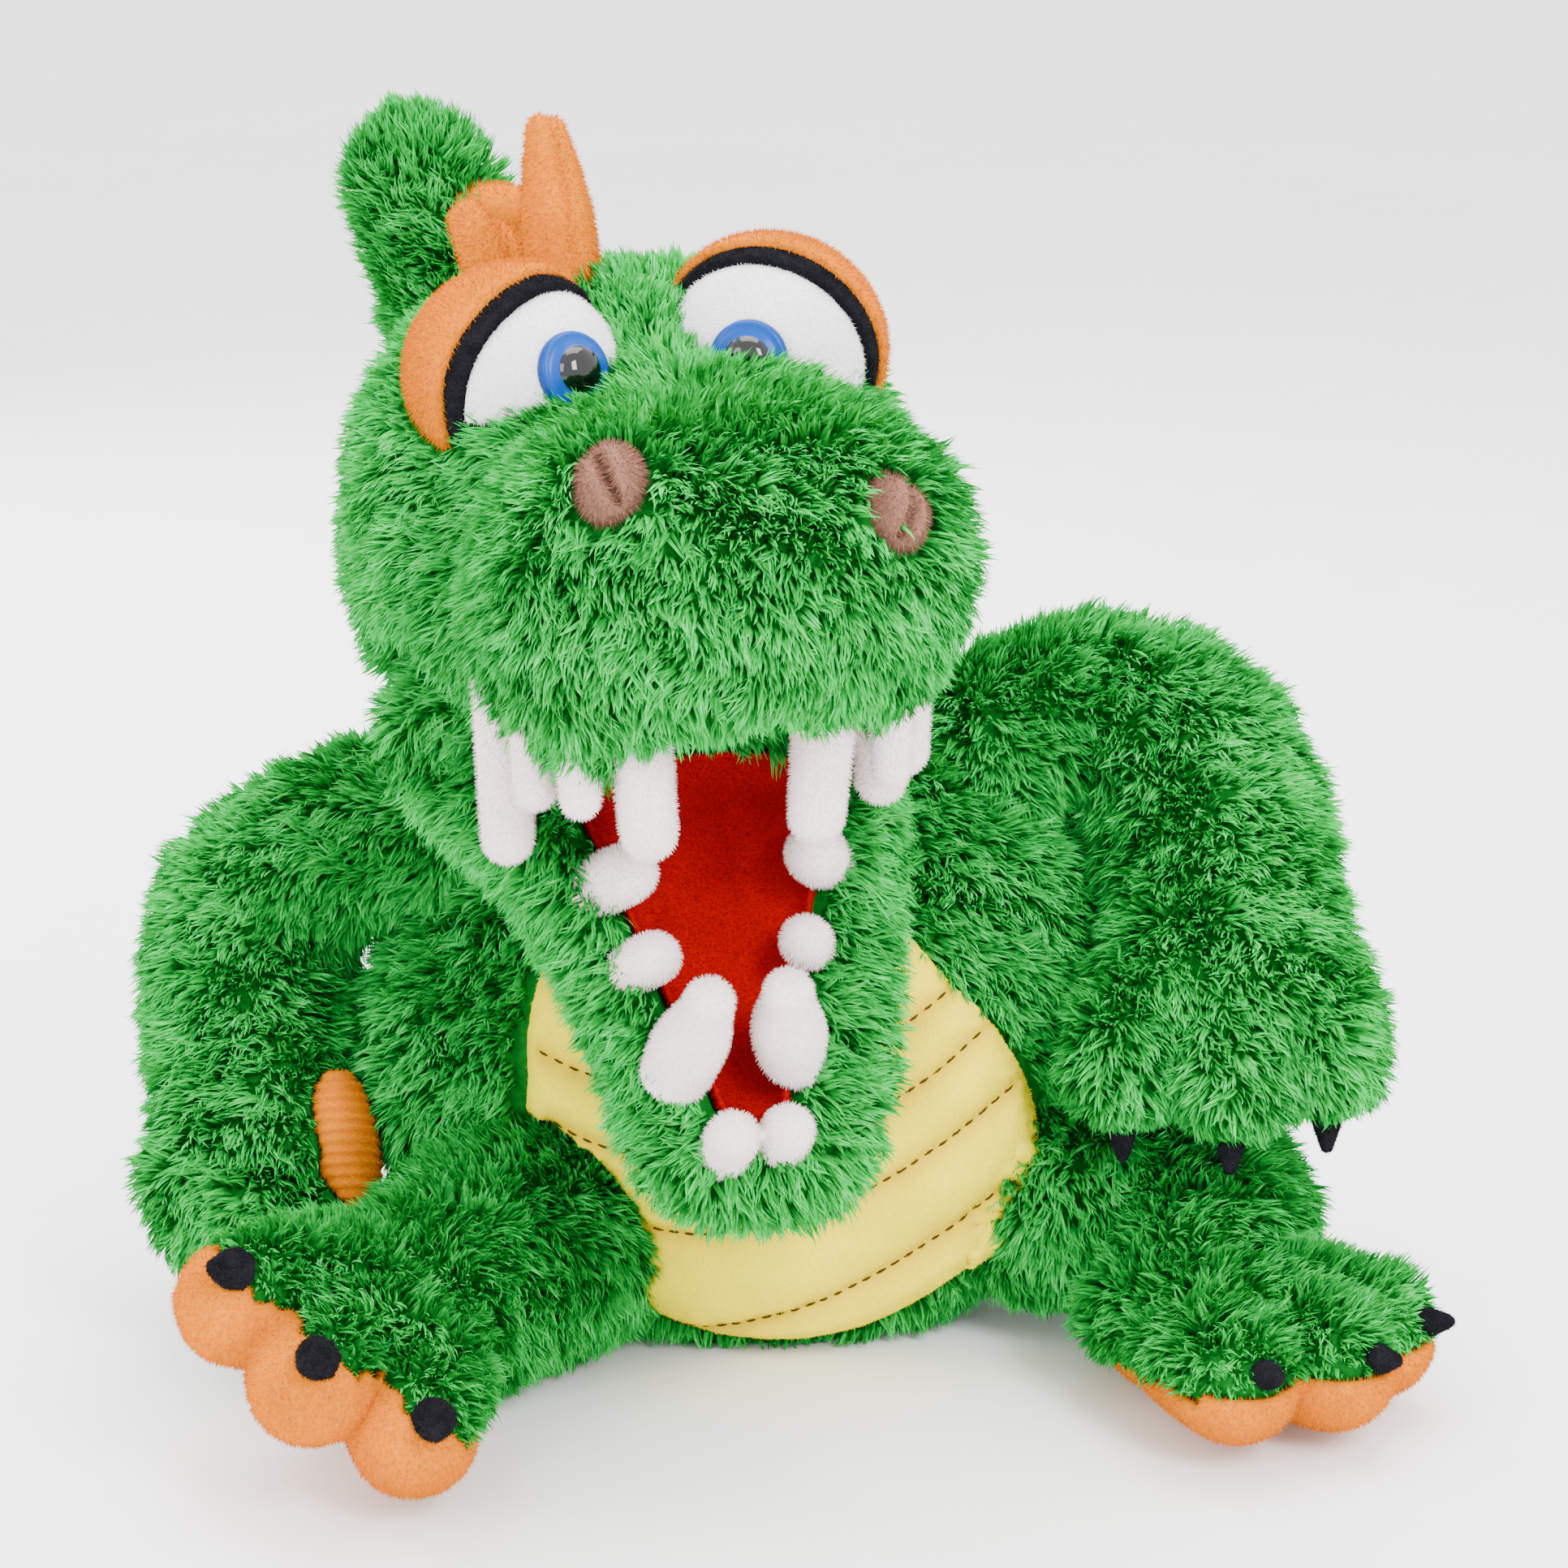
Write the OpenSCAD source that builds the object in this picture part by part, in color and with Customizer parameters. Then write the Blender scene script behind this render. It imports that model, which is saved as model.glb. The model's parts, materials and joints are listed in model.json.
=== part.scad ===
// Stuffed dinosaur, seated, with a wide open mouth.
// Millimetres. +Z is up, the toy faces -Y, +X is the viewer's right.
// The origin is the middle of the flat seat that it rests on.

/* [Torso] */
// Half width of the torso at its fullest
torso_half_w = 106; // [102:1:108]
// Half depth of the torso at its fullest
torso_half_d = 80; // [77:1:82]
// Thickness of the quilted belly panel
belly_pad = 4; // [3:0.5:5]

/* [Head] */
// Turn of the head towards the viewer's right, in degrees
head_turn = 18; // [14:1:20]
// Tilt of the crown towards the viewer's left, in degrees
head_tilt = 1; // [0:1:3]
// Half width of the head across the cheeks
head_half_w = 80; // [77:1:81]
// Radius of the stuffed eyeballs
eyeball_r = 28.5; // [27.5:0.5:29]
// Diameter of the plastic safety eyes
eye_d = 22; // [20:1:24]

/* [Jaw] */
// How far the lower jaw hangs open, in degrees below the palate
jaw_open = 60; // [57:1:61]
// Half width of the jaw at the cheeks
jaw_half_w = 80; // [76:1:81]
// Length of the big lower fangs
fang_len = 40; // [34:1:42]

/* [Limbs] */
// Radius of the arms at the shoulder
arm_r = 29; // [27:1:30]
// Radius of the legs at the hip
leg_r = 36; // [34:1:37]
// Radius of the tail at its root
tail_r = 37; // [34:1:38]
// Radius of a toe
toe_r = 18; // [16:0.5:18.5]
// Radius of a finger
finger_r = 16; // [14:0.5:16.5]

/* [Cloth] */
// Thickness of the plush with its backing
plush = 3; // [2.5:0.5:3.5]

/* [Hidden] */

LEFT = -1;
RIGHT = 1;
FAR = 400;           // larger than anything cut with it
GAP = 0.6;           // clearance round the neck ball and the jaw root in the head
POCKET_GAP = 2;      // clearance round every root ball in the torso
TORSO_SIDES = 24;    // corners of a torso or head ring
LIMB_SIDES = 14;     // corners of a limb ring
SPIKE_SIDES = 12;    // corners of a spike ring
LINING = 2;          // thickness of the red mouth cloth
BOARD = 1.6;         // thickness of the mouth stiffeners

GREEN = "mediumseagreen";
ORANGE = "sandybrown";
STUFFING = "whitesmoke";

// ---- Lofted socks: closed tubes along a spline, with domed ends ----

function unit(v) = v / norm(v);

// Catmull-Rom spline through the list p, with t from 0 to 1.
function at(p, i) = p[max(0, min(len(p) - 1, i))];
function knot(p0, p1, p2, p3, t) =
    0.5 * (2 * p1 + (p2 - p0) * t + (2 * p0 - 5 * p1 + 4 * p2 - p3) * t * t
    + (3 * p1 - p0 - 3 * p2 + p3) * t * t * t);
function spline(p, t) =
    let (s = t * (len(p) - 1), i = min(floor(s), len(p) - 2))
    knot(at(p, i - 1), at(p, i), at(p, i + 1), at(p, i + 2), s - i);
function heading(p, t) =
    unit(spline(p, min(1, t + 0.01)) - spline(p, max(0, t - 0.01)));

// One ring: a circle squared off by the exponent 2 / square.
function rounded(c, square) = sign(c) * pow(abs(c), 2 / square);
function ring(c, along, ref, r, sides, square) =
    let (u = unit(cross(along, ref)), v = cross(u, along))
    [for (k = [0:sides - 1])
        c + u * r[0] * rounded(cos(360 * k / sides), square)
          + v * r[1] * rounded(sin(360 * k / sides), square)];

DOME = [72, 48, 24];

// path: stations; girth: [half width, half height] at each; caps: depth of each dome.
function sock_rings(path, girth, caps, inset, ref, sides, square, steps) =
    let (
        slim = [inset, inset],
        tail_way = heading(path, 0),
        nose_way = heading(path, 1),
        first = girth[0] - slim,
        last = girth[len(girth) - 1] - slim
    )
    concat(
        [for (a = DOME)
            ring(path[0] - tail_way * (caps[0] - inset) * sin(a), tail_way, ref,
                 first * cos(a), sides, square)],
        [for (i = [0:steps])
            ring(spline(path, i / steps), heading(path, i / steps), ref,
                 spline(girth, i / steps) - slim, sides, square)],
        [for (i = [len(DOME) - 1:-1:0])
            ring(at(path, len(path)) + nose_way * (caps[1] - inset) * sin(DOME[i]),
                 nose_way, ref, last * cos(DOME[i]), sides, square)]
    );

module sock(path, girth, caps, inset = 0, ref = [0, 0, 1], sides = LIMB_SIDES,
            square = 2, steps = 6) {
    rings = sock_rings(path, girth, caps, inset, ref, sides, square, steps);
    count = len(rings);
    start = path[0] - heading(path, 0) * (caps[0] - inset);
    end = at(path, len(path)) + heading(path, 1) * (caps[1] - inset);
    points = concat([for (r = rings) each r], [start, end]);
    faces = concat(
        [for (i = [0:count - 2], k = [0:sides - 1])
            let (a = i * sides + k, b = i * sides + (k + 1) % sides)
            each [[a, b, b + sides], [a, b + sides, a + sides]]],
        [for (k = [0:sides - 1]) [count * sides, (k + 1) % sides, k]],
        [for (k = [0:sides - 1])
            let (base = (count - 1) * sides)
            [count * sides + 1, base + k, base + (k + 1) % sides]]
    );
    polyhedron(points = points, faces = faces, convexity = 6);
}

function round_girth(radii) = [for (r = radii) [r, r]];

// A block that fills the side of a plane that its normal points to.
module beyond(normal, distance = 0) {
    n = unit(normal);
    rotate([0, acos(n[2]), atan2(n[1], n[0])])
        translate([-FAR / 2, -FAR / 2, distance]) cube(FAR);
}

// Points local +Z along a direction.
module aim(way) {
    n = unit(way);
    rotate([0, acos(n[2]), atan2(n[1], n[0])]) children();
}

// A blunt plush tooth, root at the origin, pointing along +Z.
module tooth(root_r, tip_r, len) {
    cylinder(r1 = root_r, r2 = tip_r, h = len - tip_r);
    translate([0, 0, len - tip_r]) sphere(r = tip_r);
}

// ---- Torso ----

TORSO_PATH = [[0, 4, 50], [-5, 4, 85], [-15, 8, 122], [-26, 12, 154]];
TORSO_CAPS = [62, 30];
NECK_AT = [-50, -4, 202];
neck_r = 33;

SHOULDER = [[-97, 8, 148], [56, 8, 168]];
HIP = [[-70, -44, 38], [84, -22, 46]];
TAIL_ROOT = [-8, 76, 50];
function side_index(side) = (side + 1) / 2;

module torso_form(inset = 0) {
    girth = [
        [torso_half_w - 10, torso_half_d - 4], [torso_half_w, torso_half_d],
        [torso_half_w - 5, torso_half_d - 11], [torso_half_w - 22, torso_half_d - 20]
    ];
    intersection() {
        sock(TORSO_PATH, girth, TORSO_CAPS, inset, [0, 1, 0], TORSO_SIDES, 2, 7);
        translate([0, 0, inset]) beyond([0, 0, 1]);
    }
}

// A pocket that a root ball of radius r sits in, flared along the way that it leaves.
flare = 20;
flare_len = 60;

module pocket(root, way, r) {
    sock([root, root + unit(way) * flare_len], round_girth([r, r + flare_len * tan(flare)]),
         [r, 3], 0, [0.1, 0.1, 1], 14, 2, 1);
}

// The pockets that the neck, the limbs and the tail are set in.
module torso_pockets(inset = 0) {
    ease = POCKET_GAP + inset;
    sock([NECK_AT, NECK_AT + [0, 0, 20]], round_girth([neck_r + ease, neck_r + ease]),
         [neck_r + ease, 3], 0, [1, 0, 0], 14, 2, 1);
    for (i = [0, 1]) {
        pocket(SHOULDER[i], ARM_PATH[i][1] - SHOULDER[i], arm_r + ease);
        pocket(HIP[i], LEG_PATH[i][1] - HIP[i], leg_r + ease);
    }
    pocket(TAIL_ROOT, TAIL_PATH[1] - TAIL_ROOT, tail_r + ease);
}

pellet_r = 30;
PELLETS_AT = [0, -4, 38];

module torso_skin() {
    color(GREEN) difference() {
        torso_form();
        torso_pockets();
        difference() {
            torso_form(plush);
            torso_pockets(plush);
        }
    }
}

module torso_filling() {
    color(STUFFING) difference() {
        torso_form(plush);
        torso_pockets(plush);
        translate(PELLETS_AT) sphere(r = pellet_r);
    }
}

module seat_pellet_bag() {
    color("tan") translate(PELLETS_AT) sphere(r = pellet_r);
}

// The belly panel is the layer outside the torso in an oval seen from the front.
belly_half_w = 77;
belly_half_h = 84;
BELLY_MID = [0, -44, 89];

module belly_panel() {
    color("khaki") difference() {
        intersection() {
            torso_form(-belly_pad);
            translate(BELLY_MID) rotate([90, 0, 0]) scale([1, belly_half_h / belly_half_w, 1])
                cylinder(r = belly_half_w, h = FAR / 4);
            translate([0, -18, 0]) beyond([0, -1, 0]);
        }
        torso_form();
        torso_pockets();
    }
}

// ---- Spikes of the crest, the back and the tail ----

// Rises from the origin along +Z and leans towards +Y.
module spike(height, half_thick, half_long) {
    path = [[0, 0, -6], [0, 1, height * 0.4], [0, height * 0.14, height * 0.88]];
    girth = [[half_thick, half_long], [half_thick * 0.95, half_long * 0.75],
             [half_thick * 0.55, half_long * 0.42]];
    sock(path, girth, [4, height * 0.12], 0, [0, -1, 0], SPIKE_SIDES, 2, 4);
}

BACK_SPIKES = [
    // height above the seat, rise of the spike, lean of the spike
    [168, 32, -48], [142, 34, -66], [117, 28, -80]
];

module back_spikes() {
    color(ORANGE) difference() {
        for (s = BACK_SPIKES) {
            mid = spline(TORSO_PATH, (s[0] - TORSO_PATH[0][2]) / 110);
            out = torso_half_d - 14 - max(0, s[0] - 125) * 0.55;
            translate([mid[0], mid[1] + out, s[0]]) rotate([s[2], 0, 0])
                spike(s[1], 9, 14);
        }
        torso_form();
    }
}

module neck_stuffing() {
    color(STUFFING) translate(NECK_AT) sphere(r = neck_r);
}

// ---- Head, in its own frame: snout to -Y, crown to +Z ----

HEAD_AT = [-47, -38, 263];

module head_place() {
    translate(HEAD_AT) rotate([0, -head_tilt, head_turn]) children();
}

HEAD_PATH = [[0, 34, 0], [0, 0, -4], [0, -36, -6], [0, -70, -7], [0, -104, -4]];
HEAD_CAPS = [36, 40];
HINGE = [0, -32, -50];
hinge_r = 27;

module head_form(inset = 0) {
    girth = [
        [head_half_w - 14, 57], [head_half_w, 65], [head_half_w - 3, 52],
        [head_half_w - 12, 41], [head_half_w - 14, 42]
    ];
    sock(HEAD_PATH, girth, HEAD_CAPS, inset, [0, 0, -1], TORSO_SIDES, 2.6, 8);
}

// The groove that the root of the jaw turns in.
module jaw_groove(inset = 0) {
    translate(HINGE) rotate([0, 90, 0])
        cylinder(r = hinge_r + 2 * GAP + inset, h = FAR, center = true);
}

module neck_hollow(inset = 0) {
    multmatrix(m = head_from_world()) translate(NECK_AT) sphere(r = neck_r + GAP + inset);
}

// The head's placing undone, for a shape that is given in the toy's frame.
function rot_y(a) = [[cos(a), 0, sin(a), 0], [0, 1, 0, 0], [-sin(a), 0, cos(a), 0], [0, 0, 0, 1]];
function rot_z(a) = [[cos(a), -sin(a), 0, 0], [sin(a), cos(a), 0, 0], [0, 0, 1, 0], [0, 0, 0, 1]];
function shift(v) = [[1, 0, 0, v[0]], [0, 1, 0, v[1]], [0, 0, 1, v[2]], [0, 0, 0, 1]];
function head_from_world() = rot_y(head_tilt) * rot_z(-head_turn) * shift(-HEAD_AT);

PALATE_PATH = [[0, -70, -48], [0, -86, -48], [0, -104, -47]];
PALATE_GIRTH = [[42, 13], [41, 14], [34, 13]];

module palate_hollow(inset = 0) {
    sock(PALATE_PATH, PALATE_GIRTH, [14, 20], inset, [0, 0, -1], 20, 2.6, 4);
}

BOARD_PLACE = [0, -88, -26];

module palate_plate() {
    translate(BOARD_PLACE) scale([1, 0.85, 1])
        cylinder(r = 40, h = BOARD, center = true);
}

module head_skin() {
    color(GREEN) head_place() difference() {
        head_form();
        jaw_groove();
        neck_hollow();
        palate_hollow();
        for (side = [LEFT, RIGHT]) eye_seat(side);
        difference() {
            head_form(plush);
            jaw_groove(plush);
            neck_hollow(plush);
            palate_hollow(-plush);
        }
    }
}

module head_filling() {
    color(STUFFING) head_place() difference() {
        head_form(plush);
        jaw_groove(plush);
        neck_hollow(plush);
        palate_hollow(-plush);
        palate_plate();
        for (side = [LEFT, RIGHT]) eye_seat(side);
    }
}

module palate_board() {
    color("burlywood") head_place() palate_plate();
}

module upper_mouth_lining() {
    color("firebrick") head_place() difference() {
        intersection() {
            palate_hollow();
            head_form();
        }
        palate_hollow(LINING);
        jaw_groove();
    }
}

// ---- Upper teeth: [x, y] of the root on the lip, then the way that it points ----

lip_z = -30;

// A tooth hangs from the lip: its root is sewn into the rim, so that is cut away.
module hung_tooth(place, way, root_r, tip_r, len) {
    head_place() difference() {
        translate([place[0], place[1], lip_z]) aim(way) tooth(root_r, tip_r, len);
        difference() {
            head_form();
            palate_hollow(LINING);
        }
    }
}

module upper_fang(side) {
    color("white") hung_tooth([side * 27 - 2, -112], [side * -0.08, 0.05, -1], 9, 7.5, 49);
}

module upper_corner_fang(side) {
    color("white") hung_tooth([side * 54 - 3, -80], [0, 0.03, -1], 8.5, 7, 49);
}

module upper_small_teeth(side) {
    color("white") {
        hung_tooth([side * 53, -96], [0, 0.03, -1], 7, 6, 36);
        hung_tooth([side * 44, -109], [0, 0.03, -1], 6.5, 5.5, 36);
    }
}

// ---- Nostrils ----

NOSTRIL = [[-38, -126, 27], [35, -130, 14]];
NOSTRIL_WAY = [[-0.35, -0.8, 0.5], [0.45, -0.82, 0.42]];

module nostril(side) {
    i = side_index(side);
    color("rosybrown") head_place() difference() {
        translate(NOSTRIL[i]) aim(NOSTRIL_WAY[i])
            sock([[0, 0, -1], [0, 0, 1]], [[14, 10.5], [14, 10.5]], [11, 11], 0,
                 [0, 1, 0], 18, 2, 1);
        head_form();
    }
}

// ---- Eyes ----

function eye_at(side) = [side * 36, -29, 40 + 2 * side];
EYE_WAY = [[0.3, -0.91, 0.26], [-0.48, -0.87, 0.1]];
function lid_way(side) = [side * 0.56, 0.74, 0.37];
lid_edge = 7;
lid_thick = 4.5;
lash_thick = 2.6;
shank_r = 3;
shank_len = 15;
washer_r = 9;
washer_t = 2;
seat_depth = 2.6;

module on_eye(side) {
    translate(eye_at(side)) children();
}

// The space that a safety eye, its shank and its washer take up.
module eye_seat(side) {
    on_eye(side) aim(EYE_WAY[side_index(side)]) {
        translate([0, 0, eyeball_r - seat_depth - shank_len]) {
            cylinder(r = shank_r, h = shank_len);
            cylinder(r = washer_r, h = washer_t);
        }
        translate([0, 0, eyeball_r - seat_depth]) cylinder(d = eye_d, h = 10);
    }
}

module eyeball(side) {
    color("white") head_place() difference() {
        on_eye(side) sphere(r = eyeball_r);
        head_form();
        eye_seat(side);
    }
}

// Moulded eye: a domed disc with a shank that a washer is pressed on.
module safety_eye(side) {
    rim = 2.6;
    rise = 4.4;
    dome_r = (eye_d * eye_d / 4 + rise * rise) / (2 * rise);
    color("royalblue") head_place() on_eye(side) aim(EYE_WAY[side_index(side)]) {
        translate([0, 0, eyeball_r - seat_depth]) {
            cylinder(d = eye_d, h = rim);
            intersection() {
                translate([0, 0, rim + rise - dome_r]) sphere(r = dome_r);
                translate([0, 0, rim]) cylinder(d = eye_d, h = rise);
            }
        }
        translate([0, 0, eyeball_r - seat_depth - shank_len]) cylinder(r = shank_r, h = shank_len);
    }
}

module eye_washer(side) {
    color("dimgray") head_place() on_eye(side) aim(EYE_WAY[side_index(side)])
        translate([0, 0, eyeball_r - seat_depth - shank_len]) difference() {
            cylinder(r = washer_r, h = washer_t);
            translate([0, 0, -1]) cylinder(r = shank_r, h = washer_t + 2);
        }
}

module eyelid(side) {
    color(ORANGE) head_place() difference() {
        on_eye(side) intersection() {
            sphere(r = eyeball_r + lid_thick);
            beyond(lid_way(side), lid_edge);
        }
        on_eye(side) sphere(r = eyeball_r);
        head_form();
    }
}

module lash(side) {
    color("black") head_place() difference() {
        on_eye(side) intersection() {
            sphere(r = eyeball_r + lash_thick);
            beyond(lid_way(side), 0);
        }
        on_eye(side) sphere(r = eyeball_r);
        on_eye(side) beyond(lid_way(side), lid_edge);
        head_form();
    }
}

module crest_spike(place, height, lean) {
    color(ORANGE) head_place() difference() {
        translate(place) rotate(lean) spike(height, 11, 15);
        head_form();
    }
}

// ---- Jaw, in its own frame: hinge along X at the origin, tip to -Y when shut ----

JAW_PATH = [[0, 0, 0], [1, -16, -3], [5, -42, -3], [8, -84, -4], [8, -130, -4]];
JAW_CAPS = [hinge_r, 26];
BOWL_PATH = [[3, -38, 16], [4, -82, 14], [4, -122, 12]];
BOWL_GIRTH = [[36, 13], [24, 13], [11, 11]];

module jaw_place() {
    head_place() translate(HINGE) rotate([jaw_open, 0, 0]) children();
}

module jaw_form(inset = 0) {
    girth = [[jaw_half_w, hinge_r], [jaw_half_w - 5, 22.5], [jaw_half_w - 17, 20.5],
             [jaw_half_w - 31, 19], [jaw_half_w - 46, 17]];
    sock(JAW_PATH, girth, JAW_CAPS, inset, [0, 0, -1], 24, 2.4, 8);
}

module jaw_bowl(inset = 0) {
    sock(BOWL_PATH, BOWL_GIRTH, [12, 12], inset, [0, 0, -1], 20, 2.4, 4);
}

module jaw_plate() {
    translate([0, 0, -9]) linear_extrude(BOARD)
        polygon([[-28, -26], [34, -26], [20, -120], [-4, -120]]);
}

module jaw_skin() {
    color(GREEN) jaw_place() difference() {
        jaw_form();
        jaw_bowl();
        difference() {
            jaw_form(plush);
            jaw_bowl(-plush);
        }
    }
}

module jaw_filling() {
    color(STUFFING) jaw_place() difference() {
        jaw_form(plush);
        jaw_bowl(-plush);
        jaw_plate();
    }
}

module jaw_board() {
    color("burlywood") jaw_place() jaw_plate();
}

module lower_mouth_lining() {
    color("firebrick") jaw_place() difference() {
        intersection() {
            jaw_bowl();
            jaw_form();
        }
        jaw_bowl(LINING);
    }
}

// ---- Lower teeth: rooted in the lip, standing into the mouth ----

module lower_tooth(place, way, root_r, tip_r, len) {
    difference() {
        translate(place) aim(way) tooth(root_r, tip_r, len);
        jaw_form();
    }
}

module lower_fang(side) {
    color("white") jaw_place()
        lower_tooth([side * 17, -116, 8], [-side * 0.2, 0.5, 1], 10, 7.5, fang_len);
}

module lower_incisors() {
    color("white") jaw_place() for (side = [LEFT, RIGHT])
        lower_tooth([2 + side * 8, -139, 4], [0, 0.2, 1], 7.8, 7, 23);
}

module lower_small_teeth(side) {
    color("white") jaw_place() {
        lower_tooth([3 + side * 34, -60, 8], [-side * 0.45, 0, 1], 9, 8, 25);
        lower_tooth([2 + side * 27, -84, 8], [-side * 0.4, 0, 1], 7.5, 7, 21);
    }
}

// ---- Arms ----

ARM_PATH = [
    [SHOULDER[0], [-127, 8, 148], [-162, 10, 122], [-163, -8, 88], [-158, -39, 60]],
    [SHOULDER[1], [92, 8, 188], [122, -4, 172], [131, -28, 138], [131, -55, 113]]
];
HAND_GIRTH = [[28, 24], [42, 25]];
FINGER_WAY = [[0.35, -0.35, -0.87], [0, -0.25, -0.97]];
FINGER_AT = [
    [[-175, -45, 54], [-160, -53, 51], [-147, -44, 50]],
    [[99, -64, 106], [130, -70, 104], [159, -62, 108]]
];
finger_len = 12;
ARM_STOUT = [0, 4];     // how much thicker each forearm is than the shoulder

module finger(side, k, inset) {
    i = side_index(side);
    start = FINGER_AT[i][k];
    way = unit(FINGER_WAY[i]);
    sock([start, start + way * finger_len], round_girth([finger_r, finger_r]),
         [finger_r, finger_r], inset, [1, 0, 0.2], 12, 2, 1);
}

module arm_form(side, inset = 0) {
    i = side_index(side);
    stout = ARM_STOUT[i];
    girth = [[arm_r, arm_r], [arm_r - 3, arm_r - 3], [arm_r + stout, arm_r + stout],
             [arm_r + stout, arm_r + stout], HAND_GIRTH[i]];
    sock(ARM_PATH[i], girth, [arm_r, 20], inset, [0, 1, 0.05], LIMB_SIDES, 2, 8);
    for (k = [0:2]) finger(side, k, inset);
}

module arm_skin(side) {
    color(GREEN) difference() {
        arm_form(side);
        arm_form(side, plush);
    }
}

module arm_filling(side) {
    color(STUFFING) arm_form(side, plush);
}

PALM_AT = [[-132, -41, 60], [126, -34, 98]];
PALM_WAY = [[0.95, -0.3, 0.1], [-0.25, 0.8, -0.5]];

module palm_pad(side) {
    i = side_index(side);
    color(ORANGE) difference() {
        translate(PALM_AT[i]) aim(PALM_WAY[i]) scale([1, 0.5, 0.35]) sphere(r = 26);
        arm_form(side);
    }
}

// A felt claw, root at the origin, pointing along +Z.
module claw(root_r, len) {
    cylinder(r1 = root_r, r2 = 1, h = len, $fn = 10);
}

module hand_claws(side) {
    i = side_index(side);
    way = unit(FINGER_WAY[i]);
    color("black") difference() {
        for (k = [0:2])
            translate(FINGER_AT[i][k] + way * (finger_len + finger_r - 4)) aim(way) claw(5.5, 13);
        arm_form(side);
    }
}

// ---- Legs ----

LEG_PATH = [
    [HIP[0], [-88, -68, 37], [-101, -98, 38], [-110, -122, 38]],
    [HIP[1], [113, -26, 44], [128, -48, 37], [124, -72, 32]]
];
FOOT_AT = [[-118, -134, 41], [132, -92, 24]];
FOOT_SPIN = [[-32, 0, -108], [-3, 0, -47]];
FOOT_PATH = [[-24, 0, 0], [10, 0, 0]];
FOOT_GIRTH = [[30, 21], [44, 20]];
TOE_SPREAD = [-20, 0, 20];
TOE_SIDE = [-30, 0, 30];
TOE_REACH = [26, 36, 26];
sole_cut = -13;
SEAM_CLIMB = [18, 11];
CLAW_RISE = [14, 6];

module foot_place(side) {
    i = side_index(side);
    translate(FOOT_AT[i]) rotate([0, 0, FOOT_SPIN[i][2]]) rotate([FOOT_SPIN[i][0], 0, 0])
        children();
}

function toe_way(k) = [cos(TOE_SPREAD[k]), sin(TOE_SPREAD[k]), 0];
function toe_tip(k) = [TOE_REACH[k], TOE_SIDE[k], 0];

module foot_form(inset = 0) {
    sock(FOOT_PATH, FOOT_GIRTH, [20, 14], inset, [0, 0, -1], LIMB_SIDES, 2, 2);
    for (k = [0:2])
        sock([toe_tip(k) - toe_way(k) * 24, toe_tip(k)],
             round_girth([toe_r, toe_r]), [toe_r, toe_r], inset, [0, 0, 1], 12, 2, 1);
}

module leg_form(side, inset = 0) {
    i = side_index(side);
    girth = round_girth([leg_r, leg_r - 2 + side, leg_r - 6 + side, leg_r - 12]);
    sock(LEG_PATH[i], girth, [leg_r, 16], inset, [0, 0, 1], LIMB_SIDES, 2, 6);
    foot_place(side) foot_form(inset);
}

// Everything below the seam that the sole is sewn along, which climbs to the toe tips.
module below_seam(side) {
    foot_place(side) translate([-50, -60, 0]) rotate([0, -SEAM_CLIMB[side_index(side)], 0])
        translate([0, 0, sole_cut - 60]) cube([140, 120, 60]);
}

module leg_skin(side) {
    color(GREEN) difference() {
        leg_form(side);
        leg_form(side, plush);
        below_seam(side);
    }
}

module leg_filling(side) {
    color(STUFFING) leg_form(side, plush);
}

module sole_pad(side) {
    color(ORANGE) difference() {
        intersection() {
            leg_form(side);
            below_seam(side);
        }
        leg_form(side, plush);
    }
}

module foot_claws(side) {
    color("black") difference() {
        foot_place(side) for (k = [0:2])
            translate(toe_tip(k) + toe_way(k) * (toe_r - 7) + [0, 0, CLAW_RISE[side_index(side)]])
                aim(toe_way(k) + [0, 0, 0.25]) claw(6, 13);
        leg_form(side);
    }
}

// ---- Tail ----

TAIL_PATH = [TAIL_ROOT, [-22, 122, 66], [-50, 150, 140], [-82, 150, 226], [-118, 144, 326]];

module tail_form(inset = 0) {
    girth = round_girth([tail_r, tail_r - 4, tail_r - 8, tail_r - 11, tail_r - 15]);
    sock(TAIL_PATH, girth, [tail_r, 26], inset, [1, 0, 0.1], LIMB_SIDES, 2, 10);
}

module tail_skin() {
    color(GREEN) difference() {
        tail_form();
        tail_form(plush);
    }
}

module tail_filling() {
    color(STUFFING) tail_form(plush);
}

TAIL_SPIKES = [
    // place along the tail, rise of the spike, side that it faces
    [0.45, 34, [0.1, 1, 0.1]], [0.65, 30, [0.6, 0.8, 0.1]], [0.98, 34, [0.8, -0.6, 0.05]]
];

module tail_spikes() {
    color(ORANGE) difference() {
        for (s = TAIL_SPIKES)
            translate(spline(TAIL_PATH, s[0]) + unit(s[2]) * 20) aim(s[2]) spike(s[1], 8, 12);
        tail_form();
    }
}

torso_skin();
torso_filling();
seat_pellet_bag();
belly_panel();
back_spikes();
neck_stuffing();
head_skin();
head_filling();
palate_board();
upper_mouth_lining();
upper_fang(LEFT);  // upper_fang_left
upper_fang(RIGHT);  // upper_fang_right
upper_corner_fang(LEFT);  // upper_corner_fang_left
upper_corner_fang(RIGHT);  // upper_corner_fang_right
upper_small_teeth(LEFT);  // upper_small_teeth_left
upper_small_teeth(RIGHT);  // upper_small_teeth_right
nostril(LEFT);  // nostril_left
nostril(RIGHT);  // nostril_right
eyeball(LEFT);  // eyeball_left
eyeball(RIGHT);  // eyeball_right
safety_eye(LEFT);  // safety_eye_left
safety_eye(RIGHT);  // safety_eye_right
eye_washer(LEFT);  // eye_washer_left
eye_washer(RIGHT);  // eye_washer_right
eyelid(LEFT);  // eyelid_left
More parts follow.
